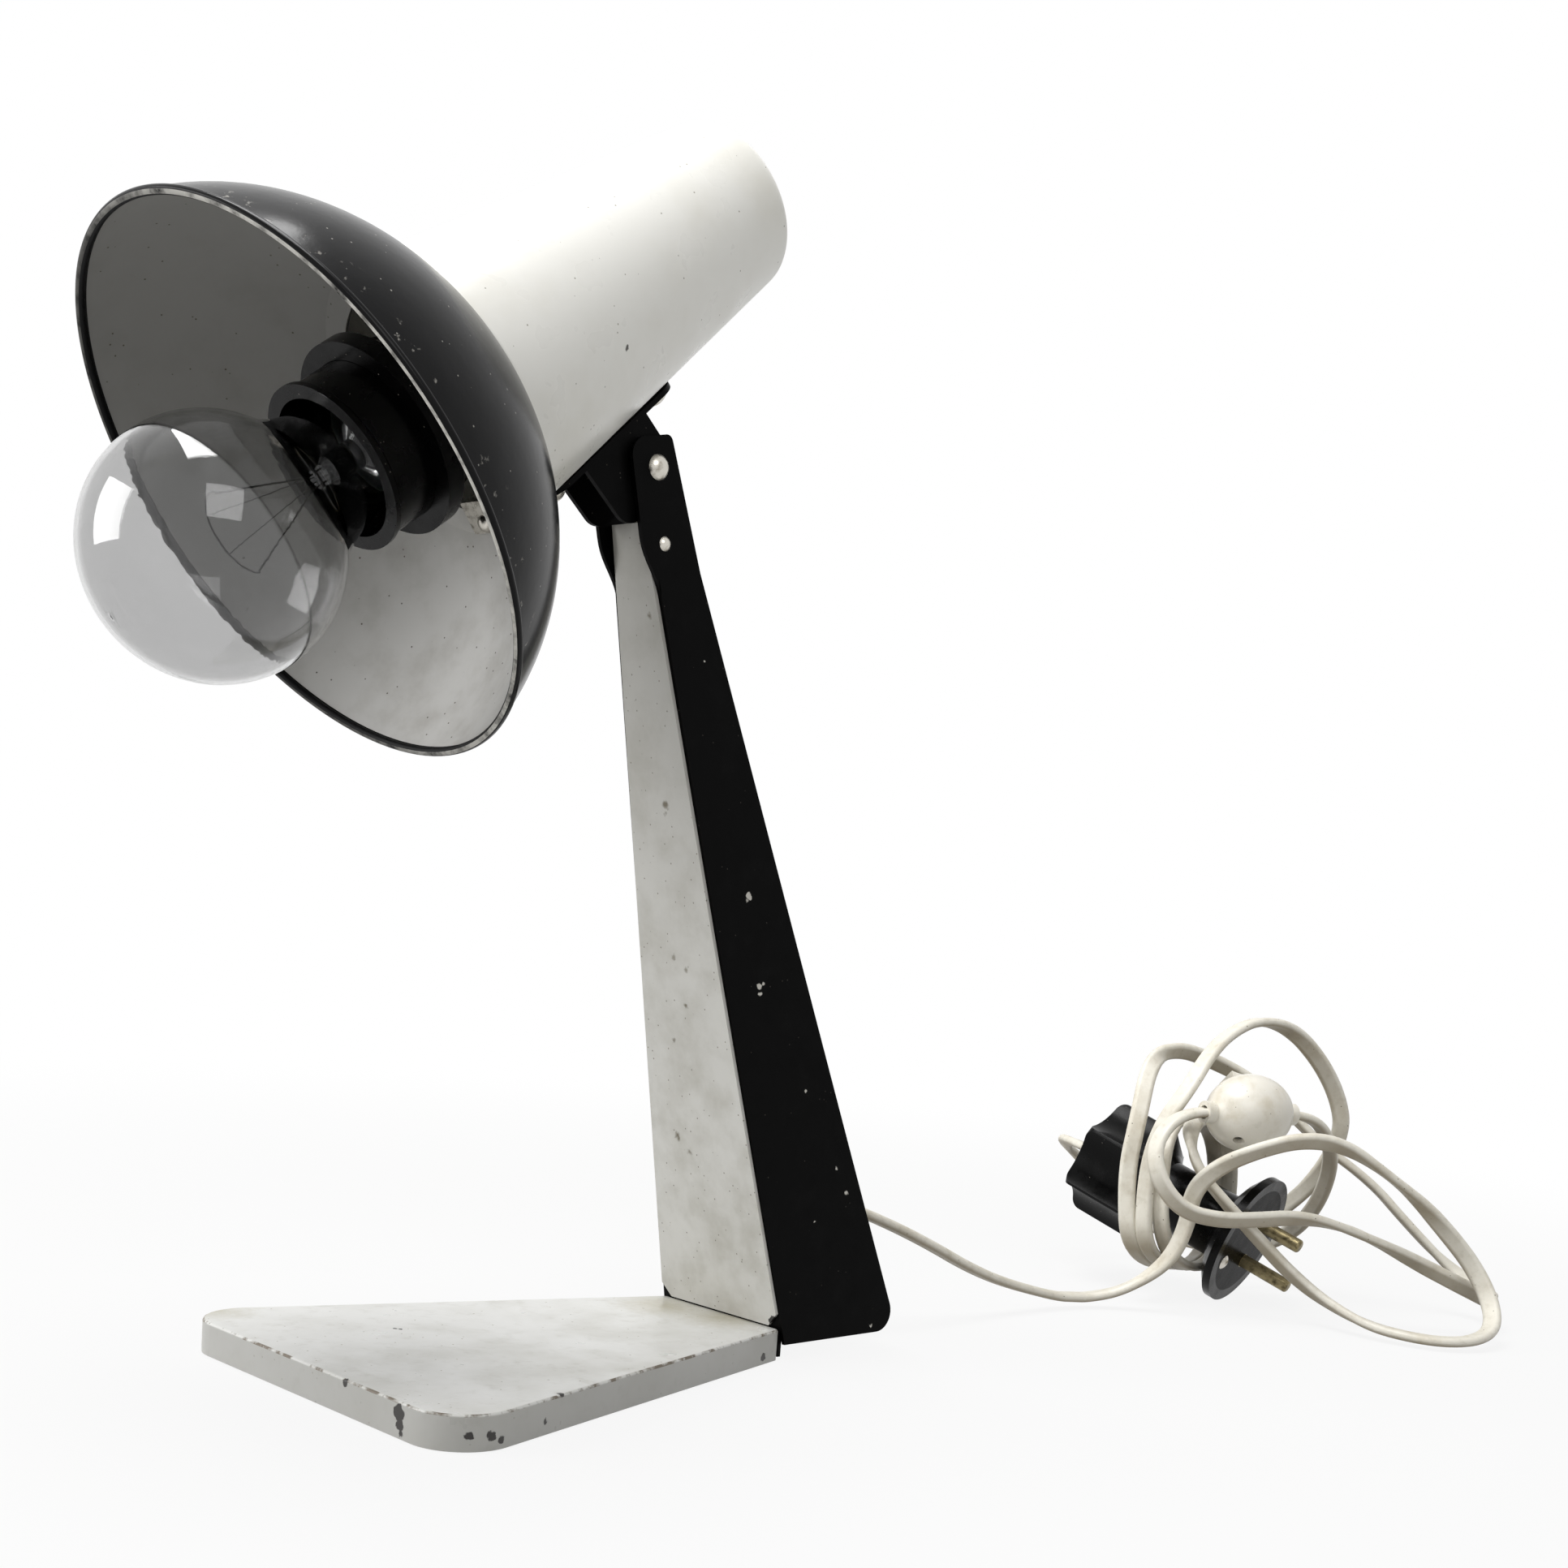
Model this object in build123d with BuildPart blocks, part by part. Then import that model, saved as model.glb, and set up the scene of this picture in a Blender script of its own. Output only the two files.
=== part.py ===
from build123d import *
import math
import os

os.makedirs("parts", exist_ok=True)

# Bedside lamp: a heavy enamelled plate carries a tapered sheet-steel stem, and a tilting
# head with a bell shade sits between the stem's ears. Millimetres, +Z up, front towards -Y.
# The origin is the centre of the base plate's underside.

# Base plate
plate_length = 141.0
plate_front_width = 132.0
plate_rear_width = 50.0
plate_thickness = 9.0
plate_front_radius = 14.0
plate_rear_radius = 2.0
plate_edge_radius = 0.8

# Stem channel, measured up its front face and back from it
stem_lean = 14.0
stem_sheet = 1.2
stem_foot_half_width = 26.0
ear_half_width = 9.2
web_length = 224.0
flange_taper = 0.0802
flange_foot_depth = 43.0
flange_slope = 0.1355
flange_floor_gap = 4.5
flange_heel_radius = 6.0
ear_top = 245.0
ear_lobe = 4.2
ear_lobe_start = 204.0
ear_lobe_end = 221.0
ear_front_radius = 5.0
ear_rear_radius = 2.0
foot_floor_gap = 0.8
rivet_fit = 0.1

# Front panel and its studs
panel_thickness = 1.0
panel_foot_margin = 0.6
panel_top_margin = 1.7
panel_gap = 0.8
panel_chamfer = 4.0
stud_heights = (30.0, 195.0)
stud_radius = 1.5
stud_head_radius = 2.6
stud_head = 1.0

# Screws that hold the plate to the stem's foot
base_screw_radius = 2.0
base_screw_length = 12.0
base_screw_spacing = 26.0
base_screw_head_radius = 3.5
base_screw_head = 2.4

# Pivot and cross rivet
pivot_height = 237.1
pivot_depth = 4.2
pivot_radius = 2.0
pivot_head_radius = 3.3
pivot_head = 1.9
running_fit = 0.05
washer_radius = 6.0
washer_gap = 0.1
sleeve_wall = 0.6
cross_rivet_height = 218.0
cross_rivet_depth = 3.4
cross_rivet_radius = 1.2
cross_rivet_head_radius = 1.9
cross_rivet_head = 1.0

# Head, measured along its axis from the rim of the shade back to the closed end
head_pitch = 37.6
pivot_along = 94.4
pivot_below = 42.6
rim_radius = 69.4
bead_radius = 1.1
shade_depth = 46.0
shade_neck_radius = 34.8
shade_bulge = 6.4
shade_wall = 0.9
shade_hole_radius = 28.0
housing_end = 158.6
housing_end_radius = 21.9
housing_corner = 4.0
housing_mouth_corner = 1.2
housing_dome = 1.5
housing_wall = 0.8
housing_lip_radius = 29.0

# Head bracket
strap_start = 62.0
strap_end = 114.0
bracket_sheet = 1.4
strap_gap = 0.1
cheek_reach = 7.0
cheek_front = 74.0
cheek_rear = 99.2
cheek_toe = (82.6, 46.0)
cheek_toe_radius = 5.2
cheek_lobe_radius = 7.5
bracket_screw_places = (66.5, 109.5)
bracket_screw_radius = 2.0
bracket_screw_head_radius = 4.2
bracket_screw_head = 3.0
bracket_nut_radius = 3.6
bracket_nut = 2.6
nut_seat_gap = 0.35

# Flex, its grommet and its clip
flex_diameter = 4.6
flex_hole_place = 88.0
flex_hole_radius = 3.6
flex_fit = 0.05
grommet_flange_radius = 5.0
grommet_flange = 1.2
grommet_play = 0.2
flex_head_outside = 9.4
flex_head_inside = 7.6
core_diameter = 1.9
core_spacing = 2.2
core_start = 4.0
core_spread_lead = 2.85
core_spread = 0.055
clip_height = 70.0
clip_width = 8.0
clip_sheet = 0.8
clip_tab = 7.0
clip_rivet_radius = 1.2
clip_rivet_head_radius = 2.2
clip_rivet_head = 1.2

# Bulb with a 27 mm screw cap
bulb_radius = 30.0
bulb_tip = -55.3
bulb_glass_wall = 0.9
bulb_neck_place = 23.5
bulb_neck_radius = 12.6
bulb_neck_end = 26.0
bulb_neck_end_radius = 12.5
cap_start = 23.7
cap_radius = 13.1
cap_wall = 0.4
cap_shoulder = 44.0
cap_end = 47.2
cap_end_radius = 9.0
cap_insulator = 1.4
cap_contact = 1.1
cap_contact_radius = 4.5
mount_flare_radius = 11.2
mount_flare = 3.0
mount_flare_gap = 1.0
mount_stem_radius = 3.6
mount_stem_length = 11.0
mount_tip = 8.0
mount_pinch = 2.0
mount_tip_radius = 2.4
lead_spacing = 3.0
lead_root = 3.0
lead_root_spread = 0.1
lead_wire = 0.45
filament_radius = 10.0
filament_place = -18.0
filament_end_gap = 0.4
support_angles = (60.0, 120.0)

# Lampholder
shell_fit = 0.25
shell_wall = 0.5
shell_start = 27.0
skirt_start = 12.0
skirt_end = 38.0
skirt_radius = 19.6
skirt_bead = 1.0
skirt_bead_length = 2.4
skirt_wall = 2.4
ring_place = 26.0
ring_length = 5.0
ring_radius = 24.0
holder_fit = 0.1
body_start = 30.0
body_radius = 19.0
body_end = 60.0
body_wall = 2.6
body_bore = 14.6
dome_end = 72.0
dome_shoulder = 1.2
dome_tip_radius = 9.5
dome_wall = 2.2
dome_boss = 6.0
dome_boss_radius = 8.0
insert_start = 52.0
insert_length = 6.0
insert_boss_radius = 6.0
insert_boss = 1.2
spring_contact = 1.0
terminal_offset = 9.0
terminal_radius = 2.4
terminal_height = 2.0
nipple_radius = 5.0
nipple_bore = 3.6
nipple_length = 18.0
lock_nut = 3.0
lock_nut_radius = 8.0
bridge_width = 12.0
bridge_sheet = 1.2
bridge_reach = 25.0
bridge_foot_end = 33.4
bridge_screw_place = 31.0
bridge_screw_radius = 1.5
bridge_screw_head_radius = 2.4
bridge_screw_head = 1.6
bridge_nut = 2.4
bridge_nut_radius = 2.9

# Frame of the tangle: its own origin on the table, turned from the lamp about the vertical
tangle_origin = (13.0, 278.0)
tangle_turn = 46.0

# Plug, measured along its axis from the grip's end to its face
plug_face_place = (24.0, 12.0, 22.9)
plug_yaw = 35.0
plug_drop = 20.0
plug_length = 66.0
grip_radius = 21.5
grip_corner = 3.0
grip_end = 24.0
grip_taper_end = 28.0
grip_taper_radius = 14.0
grip_flutes = 6
flute_radius = 19.0
flute_depth = 5.6
plug_waist_radius = 12.0
plug_waist_start = 30.0
plug_waist_end = 56.0
plug_flare_end = 60.0
plug_flare_radius = 20.0
plug_disc_start = 63.0
plug_disc_radius = 24.0
plug_face_radius = 20.0
plug_face_thickness = 3.0
plug_core_bore = 3.5
terminal_room_radius = 12.2
terminal_room_place = 57.4
pin_radius = 2.4
pin_spacing = 19.0
pin_reach = 19.0
pin_root = 5.6
pin_root_radius = 2.6
pin_tip_radius = 1.0
cover_screw_place = 16.0
cover_screw_radius = 1.5
cover_screw_head_radius = 2.6
cover_screw_head = 1.2
cover_screw_length = 5.5
plug_bush_length = 5.0
plug_bush_nose_radius = 3.8
plug_bush_flange_radius = 6.0
plug_bush_root = 3.0
plug_bush_root_radius = 4.6

# Switch in the flex: an egg of two shells, with a rocker in the upper one
switch_start = (1.5, 33.0, 69.5)
switch_end = (30.3, 20.0, 69.5)
switch_roll = 50.0
switch_radius = 13.5
switch_wall = 1.8
nose_radius = 3.8
nose_length = 3.0
window_length = 13.2
window_width = 9.0
rocker_length = 10.8
rocker_fit = 0.35
rocker_top = 5.9
rocker_hollow = 0.8
rocker_waist = (5.0, 1.5)
rocker_hub = 2.2
rocker_tilt = 9.0
axle_height = 8.0
axle_radius = 1.0
lug_radius = 2.4
lug_thickness = 1.2
lug_top = 11.0
boss_place = 8.5
boss_top = 9.0
upper_boss_radius = 1.8
lower_boss_radius = 2.8
shell_screw_radius = 0.9
shell_screw_head_radius = 1.7
shell_screw_head = 1.2
shell_screw_seat = 7.5
shell_screw_length = 13.5
contact_length = 5.0
contact_width = 3.6
contact_thickness = 0.6

# Turns of the flex round the plug's waist
turn_middle = (0.5, 3.5, 37.5)
turn_half_width = 26.5
turn_rise = 6.0
turn_start = 7.0
turn_pitch = 5.4

# Straight ends of the flex at the stem, at the switch and at the plug
exit_lead = 9.3
switch_lead = 12.0
plug_lead = 15.0

# Frames of the stem and of the head
lean = math.radians(stem_lean)
stem_up = Vector(0, -math.sin(lean), math.cos(lean))
stem_back = Vector(0, math.cos(lean), math.sin(lean))
stem_foot = Vector(0, plate_length / 2, plate_thickness)


def stem_point(x, height, depth):
    """A point measured across, up and back from the foot of the stem's front face."""
    return stem_foot + Vector(x, 0, 0) + stem_up * height + stem_back * depth


pivot = stem_point(0, pivot_height, pivot_depth)
pitch = math.radians(head_pitch)
head_back = Vector(0, math.cos(pitch), math.sin(pitch))
head_down = Vector(0, math.sin(pitch), -math.cos(pitch))
rim_centre = pivot - head_back * pivot_along - head_down * pivot_below
head_axis = Axis(rim_centre, head_back)
head_profile = Plane(origin=rim_centre, x_dir=head_back, z_dir=(-1, 0, 0))


def head_point(along, down, across=0.0):
    """A point measured along the head's axis from the rim, down from it and across."""
    return rim_centre + head_back * along + head_down * down + Vector(across, 0, 0)


def head_section(along):
    """The plane square to the head's axis at a place along it, with its Y side down."""
    return Plane(origin=head_point(along, 0), x_dir=(1, 0, 0), z_dir=head_back)


def housing_radius(along):
    share = (along - shade_depth) / (housing_end - shade_depth)
    return shade_neck_radius + (housing_end_radius - shade_neck_radius) * share


def save(part, name):
    part.label = name
    export_step(part, "parts/" + name + ".step")


def across(place, start):
    """A plane through a place whose X axis runs across the lamp, from a start on it."""
    return Plane(origin=place + Vector(start, 0, 0), x_dir=(1, 0, 0), z_dir=(0, 0, 1))


def turned(*outline, plane=head_profile):
    """A turned piece from its half outline, given as places along the plane's X axis and radii."""
    with BuildPart() as piece:
        with BuildSketch(plane):
            with BuildLine():
                Polyline(*outline, close=True)
            make_face()
        revolve(axis=Axis(plane.origin, plane.x_dir))
    return piece.part


def tube(plane, start, end, outer, inner):
    """A plain tube along the plane's X axis, from one place to another."""
    return turned((start, inner), (start, outer), (end, outer), (end, inner), plane=plane)


def domed(planes, reach, radius, head_radius, head, far_head=0.0):
    """Screws or rivets, one on each plane: a domed head, and a shank along the plane's X axis.

    A rivet has the same head again at its far end.
    """
    with BuildPart() as piece:
        for plane in planes:
            with BuildSketch(plane):
                with BuildLine():
                    TangentArc((-head, 0), (0, head_radius), tangent=(0, 1))
                    if far_head > 0:
                        Polyline((0, head_radius), (0, radius), (reach, radius), (reach, head_radius))
                        TangentArc((reach + far_head, 0), (reach, head_radius), tangent=(0, 1))
                        Line((reach + far_head, 0), (-head, 0))
                    else:
                        Polyline((0, head_radius), (0, radius), (reach, radius), (reach, 0), (-head, 0))
                make_face()
            revolve(axis=Axis(plane.origin, plane.x_dir))
    return piece.part


def nuts(planes, radius, height, bore):
    """Hexagon nuts, one on each plane, which they rise from."""
    with BuildPart() as piece:
        for plane in planes:
            with BuildSketch(plane):
                RegularPolygon(radius, 6)
                Circle(bore, mode=Mode.SUBTRACT)
            extrude(amount=height)
    return piece.part


def wires(routes, diameter):
    """Round wires or tubes, each along straight runs joined by the largest arcs they allow."""
    with BuildPart() as piece:
        for route in routes:
            with BuildLine() as path:
                if len(route) > 2:
                    FilletPolyline(*route, radius=arc_radii(route))
                else:
                    Line(*route)
            with BuildSketch(Plane(origin=path.line @ 0, z_dir=path.line % 0)):
                Circle(diameter / 2)
            sweep()
    return piece.part


def arc_radii(route):
    """One arc for each corner of a route, as large as its two runs allow."""
    points = [Vector(point) for point in route]
    radii = []
    for before, corner, beyond in zip(points, points[1:], points[2:]):
        arriving = corner - before
        leaving = beyond - corner
        half_turn = math.radians(arriving.get_angle(leaving)) / 2
        radii.append(0.45 * min(arriving.length, leaving.length) / math.tan(half_turn))
    return radii


# Base plate
with BuildPart() as base_plate:
    with BuildSketch() as plate_outline:
        with BuildLine():
            Polyline(
                (-plate_front_width / 2, -plate_length / 2),
                (plate_front_width / 2, -plate_length / 2),
                (plate_rear_width / 2, plate_length / 2),
                (-plate_rear_width / 2, plate_length / 2),
                close=True,
            )
        make_face()
        fillet(plate_outline.vertices().sort_by(Axis.Y)[:2], radius=plate_front_radius)
        fillet(plate_outline.vertices().sort_by(Axis.Y)[-2:], radius=plate_rear_radius)
    extrude(amount=plate_thickness)
    fillet(base_plate.faces().sort_by(Axis.Z)[-1].edges(), radius=plate_edge_radius)
    rear_face = Plane(
        origin=(0, plate_length / 2, plate_thickness / 2), x_dir=(-1, 0, 0), z_dir=(0, 1, 0)
    )
    with Locations(rear_face):
        with GridLocations(base_screw_spacing, 1, 2, 1):
            Hole(base_screw_radius, depth=base_screw_length)
save(base_plate.part, "base_plate")

# Stem channel: web, foot, two tapered flanges and two upright ears
crease = (stem_foot_half_width - ear_half_width) / flange_taper
web_plane = Plane(origin=stem_foot, x_dir=(1, 0, 0), z_dir=stem_back * -1)
fold_line = Vector(-flange_taper, stem_up.Y, stem_up.Z)
flange_plane = Plane(
    origin=stem_foot + Vector(stem_foot_half_width, 0, 0),
    x_dir=stem_back,
    z_dir=stem_back.cross(fold_line),
)
ear_plane = Plane(
    origin=stem_foot + Vector(ear_half_width, 0, 0), x_dir=stem_back, z_dir=(1, 0, 0)
)
stretch = math.sqrt(1 + flange_taper**2)


def level(depth, height_above_floor):
    """Height up the stem where a given depth is at a height above the floor."""
    drop = height_above_floor - plate_thickness - depth * math.sin(lean)
    return drop / math.cos(lean)


def flange_depth(height):
    return flange_foot_depth - flange_slope * height


heel = level(flange_foot_depth, flange_floor_gap)
ear_foot = crease - stem_sheet
cross_rivet_place = stem_point(0, cross_rivet_height, cross_rivet_depth)
with BuildPart() as stem_channel:
    with BuildSketch(web_plane):
        with BuildLine():
            Polyline(
                (-stem_foot_half_width, 0),
                (stem_foot_half_width, 0),
                (ear_half_width, crease),
                (ear_half_width, web_length),
                (-ear_half_width, web_length),
                (-ear_half_width, crease),
                close=True,
            )
        make_face()
    extrude(amount=-stem_sheet)
    with BuildSketch(flange_plane) as flange_outline:
        with BuildLine():
            Polyline(
                (0, level(0, flange_floor_gap)),
                (flange_depth(heel), heel),
                (flange_depth(crease), crease * stretch),
                (0, crease * stretch),
                close=True,
            )
        make_face()
        fillet(flange_outline.vertices().sort_by(Axis.X)[-1:], radius=flange_heel_radius)
    extrude(amount=-stem_sheet)
    with BuildSketch(ear_plane) as ear_outline:
        with BuildLine():
            Line((0, ear_foot), (0, ear_lobe_start))
            Spline((0, ear_lobe_start), (-ear_lobe, ear_lobe_end), tangents=((0, 1), (0, 1)))
            Polyline(
                (-ear_lobe, ear_lobe_end),
                (-ear_lobe, ear_top),
                (flange_depth(ear_top), ear_top),
                (flange_depth(ear_foot), ear_foot),
                (0, ear_foot),
            )
        make_face()
        ear_corners = ear_outline.vertices().group_by(Axis.Y)[-1].sort_by(Axis.X)
        fillet(ear_corners[:1], radius=ear_front_radius)
        fillet(ear_outline.vertices().group_by(Axis.Y)[-1].sort_by(Axis.X)[-1:], radius=ear_rear_radius)
    extrude(amount=-stem_sheet)
    mirror(about=Plane.YZ)
    with BuildSketch(rear_face):
        foot_height = plate_thickness + stem_sheet * math.sin(lean) - foot_floor_gap
        with Locations((0, foot_floor_gap + foot_height / 2 - plate_thickness / 2)):
            Rectangle(2 * (stem_foot_half_width - stem_sheet), foot_height)
    extrude(amount=stem_sheet)
    with Locations(rear_face):
        with GridLocations(base_screw_spacing, 1, 2, 1):
            Hole(base_screw_radius + rivet_fit)
    with Locations(web_plane):
        with Locations(*[(0, height) for height in stud_heights]):
            Hole(stud_radius + rivet_fit)
        with Locations((clip_tab, clip_height)):
            Hole(clip_rivet_radius)
    with Locations(Plane(origin=pivot, z_dir=(1, 0, 0))):
        Hole(pivot_radius)
    with Locations(Plane(origin=cross_rivet_place, z_dir=(1, 0, 0))):
        Hole(cross_rivet_radius)
save(stem_channel.part, "stem_channel")

# Front panel
panel_foot_half = stem_foot_half_width - flange_taper * panel_gap - panel_foot_margin
panel_top_half = stem_foot_half_width - flange_taper * web_length - panel_top_margin
with BuildPart() as front_panel:
    with BuildSketch(web_plane) as panel_outline:
        with BuildLine():
            Polyline(
                (-panel_foot_half, panel_gap),
                (panel_foot_half, panel_gap),
                (panel_top_half, web_length),
                (-panel_top_half, web_length),
                close=True,
            )
        make_face()
        chamfer(panel_outline.vertices().sort_by(Axis.Y)[:2], length=panel_chamfer)
    extrude(amount=panel_thickness)
save(front_panel.part, "front_panel")

# Studs on the panel's back, riveted over behind the web
with BuildPart() as panel_studs:
    for height in stud_heights:
        with BuildSketch(Plane(origin=stem_point(0, height, 0), z_dir=stem_back)):
            Circle(stud_radius)
        extrude(amount=stem_sheet)
        with BuildSketch(Plane(origin=stem_point(0, height, stem_sheet), z_dir=stem_back)):
            Circle(stud_head_radius)
        extrude(amount=stud_head)
save(panel_studs.part, "panel_studs")

# Screws from behind the foot into the plate's rear edge
base_screw_planes = [
    Plane(
        origin=(side * base_screw_spacing / 2, plate_length / 2 + stem_sheet, plate_thickness / 2),
        x_dir=(0, -1, 0),
        z_dir=(0, 0, 1),
    )
    for side in (-1, 1)
]
save(
    domed(
        base_screw_planes,
        stem_sheet + base_screw_length,
        base_screw_radius,
        base_screw_head_radius,
        base_screw_head,
    ),
    "base_screws",
)

# Pivot rivet, cross rivet, friction washers and the sleeve that the head turns on
save(
    domed(
        [across(pivot, -ear_half_width)],
        2 * ear_half_width,
        pivot_radius,
        pivot_head_radius,
        pivot_head,
        pivot_head,
    ),
    "pivot_rivet",
)
save(
    domed(
        [across(cross_rivet_place, -ear_half_width)],
        2 * ear_half_width,
        cross_rivet_radius,
        cross_rivet_head_radius,
        cross_rivet_head,
        cross_rivet_head,
    ),
    "cross_rivet",
)
ear_inside = ear_half_width - stem_sheet
cheek_inside = cheek_reach - bracket_sheet
bearing_radius = pivot_radius + running_fit
with BuildPart() as friction_washers:
    for side in (-1, 1):
        with BuildSketch(Plane(origin=pivot + Vector(side * cheek_reach, 0, 0), z_dir=(side, 0, 0))):
            Circle(washer_radius)
            Circle(bearing_radius, mode=Mode.SUBTRACT)
        extrude(amount=ear_inside - cheek_reach - washer_gap)
save(friction_washers.part, "friction_washers")
save(
    tube(
        across(pivot, 0), -cheek_inside, cheek_inside, bearing_radius + sleeve_wall, bearing_radius
    ),
    "pivot_sleeve",
)

# Head bracket: a strap under the housing and two cheeks that hold the sleeve
cone = math.atan((shade_neck_radius - housing_end_radius) / (housing_end - shade_depth))
strap_normal = head_down * math.cos(cone) + head_back * math.sin(cone)
strap_length = (strap_end - strap_start) / math.cos(cone)


def strap_plane(along, depth):
    """A plane on the strap's line under the housing, a depth out from the housing's skin."""
    return Plane(
        origin=head_point(along, housing_radius(along)) + strap_normal * depth,
        x_dir=(-1, 0, 0),
        z_dir=strap_normal,
    )


def strap_line(along):
    """How far below the head's axis the strap's inner face is."""
    return housing_radius(along) + strap_gap / math.cos(cone)


with BuildPart() as head_bracket:
    with BuildSketch(strap_plane((strap_start + strap_end) / 2, strap_gap)):
        SlotOverall(strap_length, 2 * cheek_reach, rotation=90)
    extrude(amount=bracket_sheet)
    with BuildSketch(head_profile.offset(cheek_inside)):
        with Locations(cheek_toe):
            Circle(cheek_toe_radius)
        with Locations((pivot_along, pivot_below)):
            Circle(cheek_lobe_radius)
        with BuildLine():
            Polyline(
                (cheek_front, strap_line(cheek_front)),
                (cheek_rear, strap_line(cheek_rear)),
                (cheek_rear, pivot_below),
                close=True,
            )
        make_face()
        make_hull()
    extrude(amount=bracket_sheet)
    mirror(about=Plane.YZ)
    with Locations(Plane(origin=pivot, z_dir=(1, 0, 0))):
        Hole(bearing_radius)
    with Locations(*[strap_plane(place, 2 * bracket_sheet) for place in bracket_screw_places]):
        Hole(bracket_screw_radius + rivet_fit, depth=3 * bracket_sheet)
    with Locations(strap_plane(flex_hole_place, 2 * bracket_sheet)):
        Hole(flex_hole_radius, depth=3 * bracket_sheet)
save(head_bracket.part, "head_bracket")

# Housing: a tapered cup with a domed end and a narrow inward lip at its mouth
end_corner = (housing_end, housing_end_radius)
with BuildPart() as housing:
    with BuildSketch(head_profile):
        with BuildLine() as housing_line:
            Polyline((shade_depth, housing_lip_radius), (shade_depth, shade_neck_radius), end_corner)
            TangentArc((housing_end + housing_dome, 0), end_corner, tangent=(0, 1))
            rim_corner = housing_line.vertices().sort_by(Axis.Y)[-1:]
            fillet(rim_corner, radius=housing_mouth_corner)
            far_corner = housing_line.vertices().sort_by_distance(end_corner)[:1]
            fillet(far_corner, radius=housing_corner)
            offset(amount=housing_wall, side=Side.RIGHT)
        make_face()
    revolve(axis=head_axis)
    with Locations(*[strap_plane(place, bracket_sheet) for place in bracket_screw_places]):
        Hole(bracket_screw_radius + rivet_fit, depth=3 * bracket_sheet)
    with Locations(strap_plane(flex_hole_place, bracket_sheet)):
        Hole(flex_hole_radius, depth=3 * bracket_sheet)
    with Locations(head_section(shade_depth + 2 * housing_wall)):
        with Locations((0, bridge_screw_place), (0, -bridge_screw_place)):
            Hole(bridge_screw_radius + rivet_fit, depth=3 * housing_wall)
save(housing.part, "housing")

# Domed screws through strap and housing, with nuts inside
strap_stack = strap_gap + bracket_sheet
bracket_screw_planes = [
    Plane(
        origin=strap_plane(place, strap_stack).origin, x_dir=strap_normal * -1, z_dir=(1, 0, 0)
    )
    for place in bracket_screw_places
]
nut_depth = housing_wall + nut_seat_gap
save(
    domed(
        bracket_screw_planes,
        strap_stack + nut_depth + bracket_nut,
        bracket_screw_radius,
        bracket_screw_head_radius,
        bracket_screw_head,
    ),
    "bracket_screws",
)
bracket_nut_planes = [
    Plane(origin=strap_plane(place, -nut_depth).origin, x_dir=(1, 0, 0), z_dir=strap_normal * -1)
    for place in bracket_screw_places
]
save(
    nuts(bracket_nut_planes, bracket_nut_radius, bracket_nut, bracket_screw_radius),
    "bracket_nuts",
)

# Rubber grommet where the flex enters the housing
grommet_plane = Plane(
    origin=strap_plane(flex_hole_place, strap_stack).origin,
    x_dir=strap_normal * -1,
    z_dir=(1, 0, 0),
)
flex_bore = flex_diameter / 2 + flex_fit
grommet_inner_face = strap_stack + housing_wall + nut_seat_gap + grommet_play
save(
    turned(
        (-grommet_flange, flex_bore),
        (-grommet_flange, grommet_flange_radius),
        (0, grommet_flange_radius),
        (0, flex_hole_radius),
        (grommet_inner_face, flex_hole_radius),
        (grommet_inner_face, grommet_flange_radius),
        (grommet_inner_face + grommet_flange, grommet_flange_radius),
        (grommet_inner_face + grommet_flange, flex_bore),
        plane=grommet_plane,
    ),
    "grommet",
)

# Shade: a bulged bell, beaded at the rim, with an inward flange on the housing's lip
chord = Vector(shade_depth, shade_neck_radius - rim_radius)
shade_arc_radius = (chord.length**2 / 4 + shade_bulge**2) / (2 * shade_bulge)
chord_middle = Vector(shade_depth / 2, (rim_radius + shade_neck_radius) / 2)
outward = Vector(-chord.Y, chord.X).normalized()
shade_arc_centre = chord_middle - outward * (shade_arc_radius - shade_bulge)


def shade_point(along, inset=0.0):
    """A point of the shade's wall, an inset in from its outer skin."""
    reach = shade_arc_radius - inset
    rise = math.sqrt(reach**2 - (along - shade_arc_centre.X) ** 2)
    return (along, shade_arc_centre.Y + rise)


flange_front = shade_depth - shade_wall
with BuildPart() as shade:
    with BuildSketch(head_profile):
        with BuildLine():
            ThreePointArc(shade_point(0), shade_point(shade_depth / 2), shade_point(shade_depth))
            Polyline(
                shade_point(shade_depth),
                (shade_depth, shade_hole_radius),
                (flange_front, shade_hole_radius),
                shade_point(flange_front, shade_wall),
            )
            ThreePointArc(
                shade_point(flange_front, shade_wall),
                shade_point(shade_depth / 2, shade_wall),
                shade_point(0, shade_wall),
            )
            Line(shade_point(0, shade_wall), shade_point(0))
        make_face()
        with Locations(shade_point(0, shade_wall / 2)):
            Circle(bead_radius)
    revolve(axis=head_axis)
    with Locations(head_section(shade_depth + shade_wall)):
        with Locations((0, bridge_screw_place), (0, -bridge_screw_place)):
            Hole(bridge_screw_radius + rivet_fit, depth=3 * shade_wall)
save(shade.part, "shade")

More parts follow.
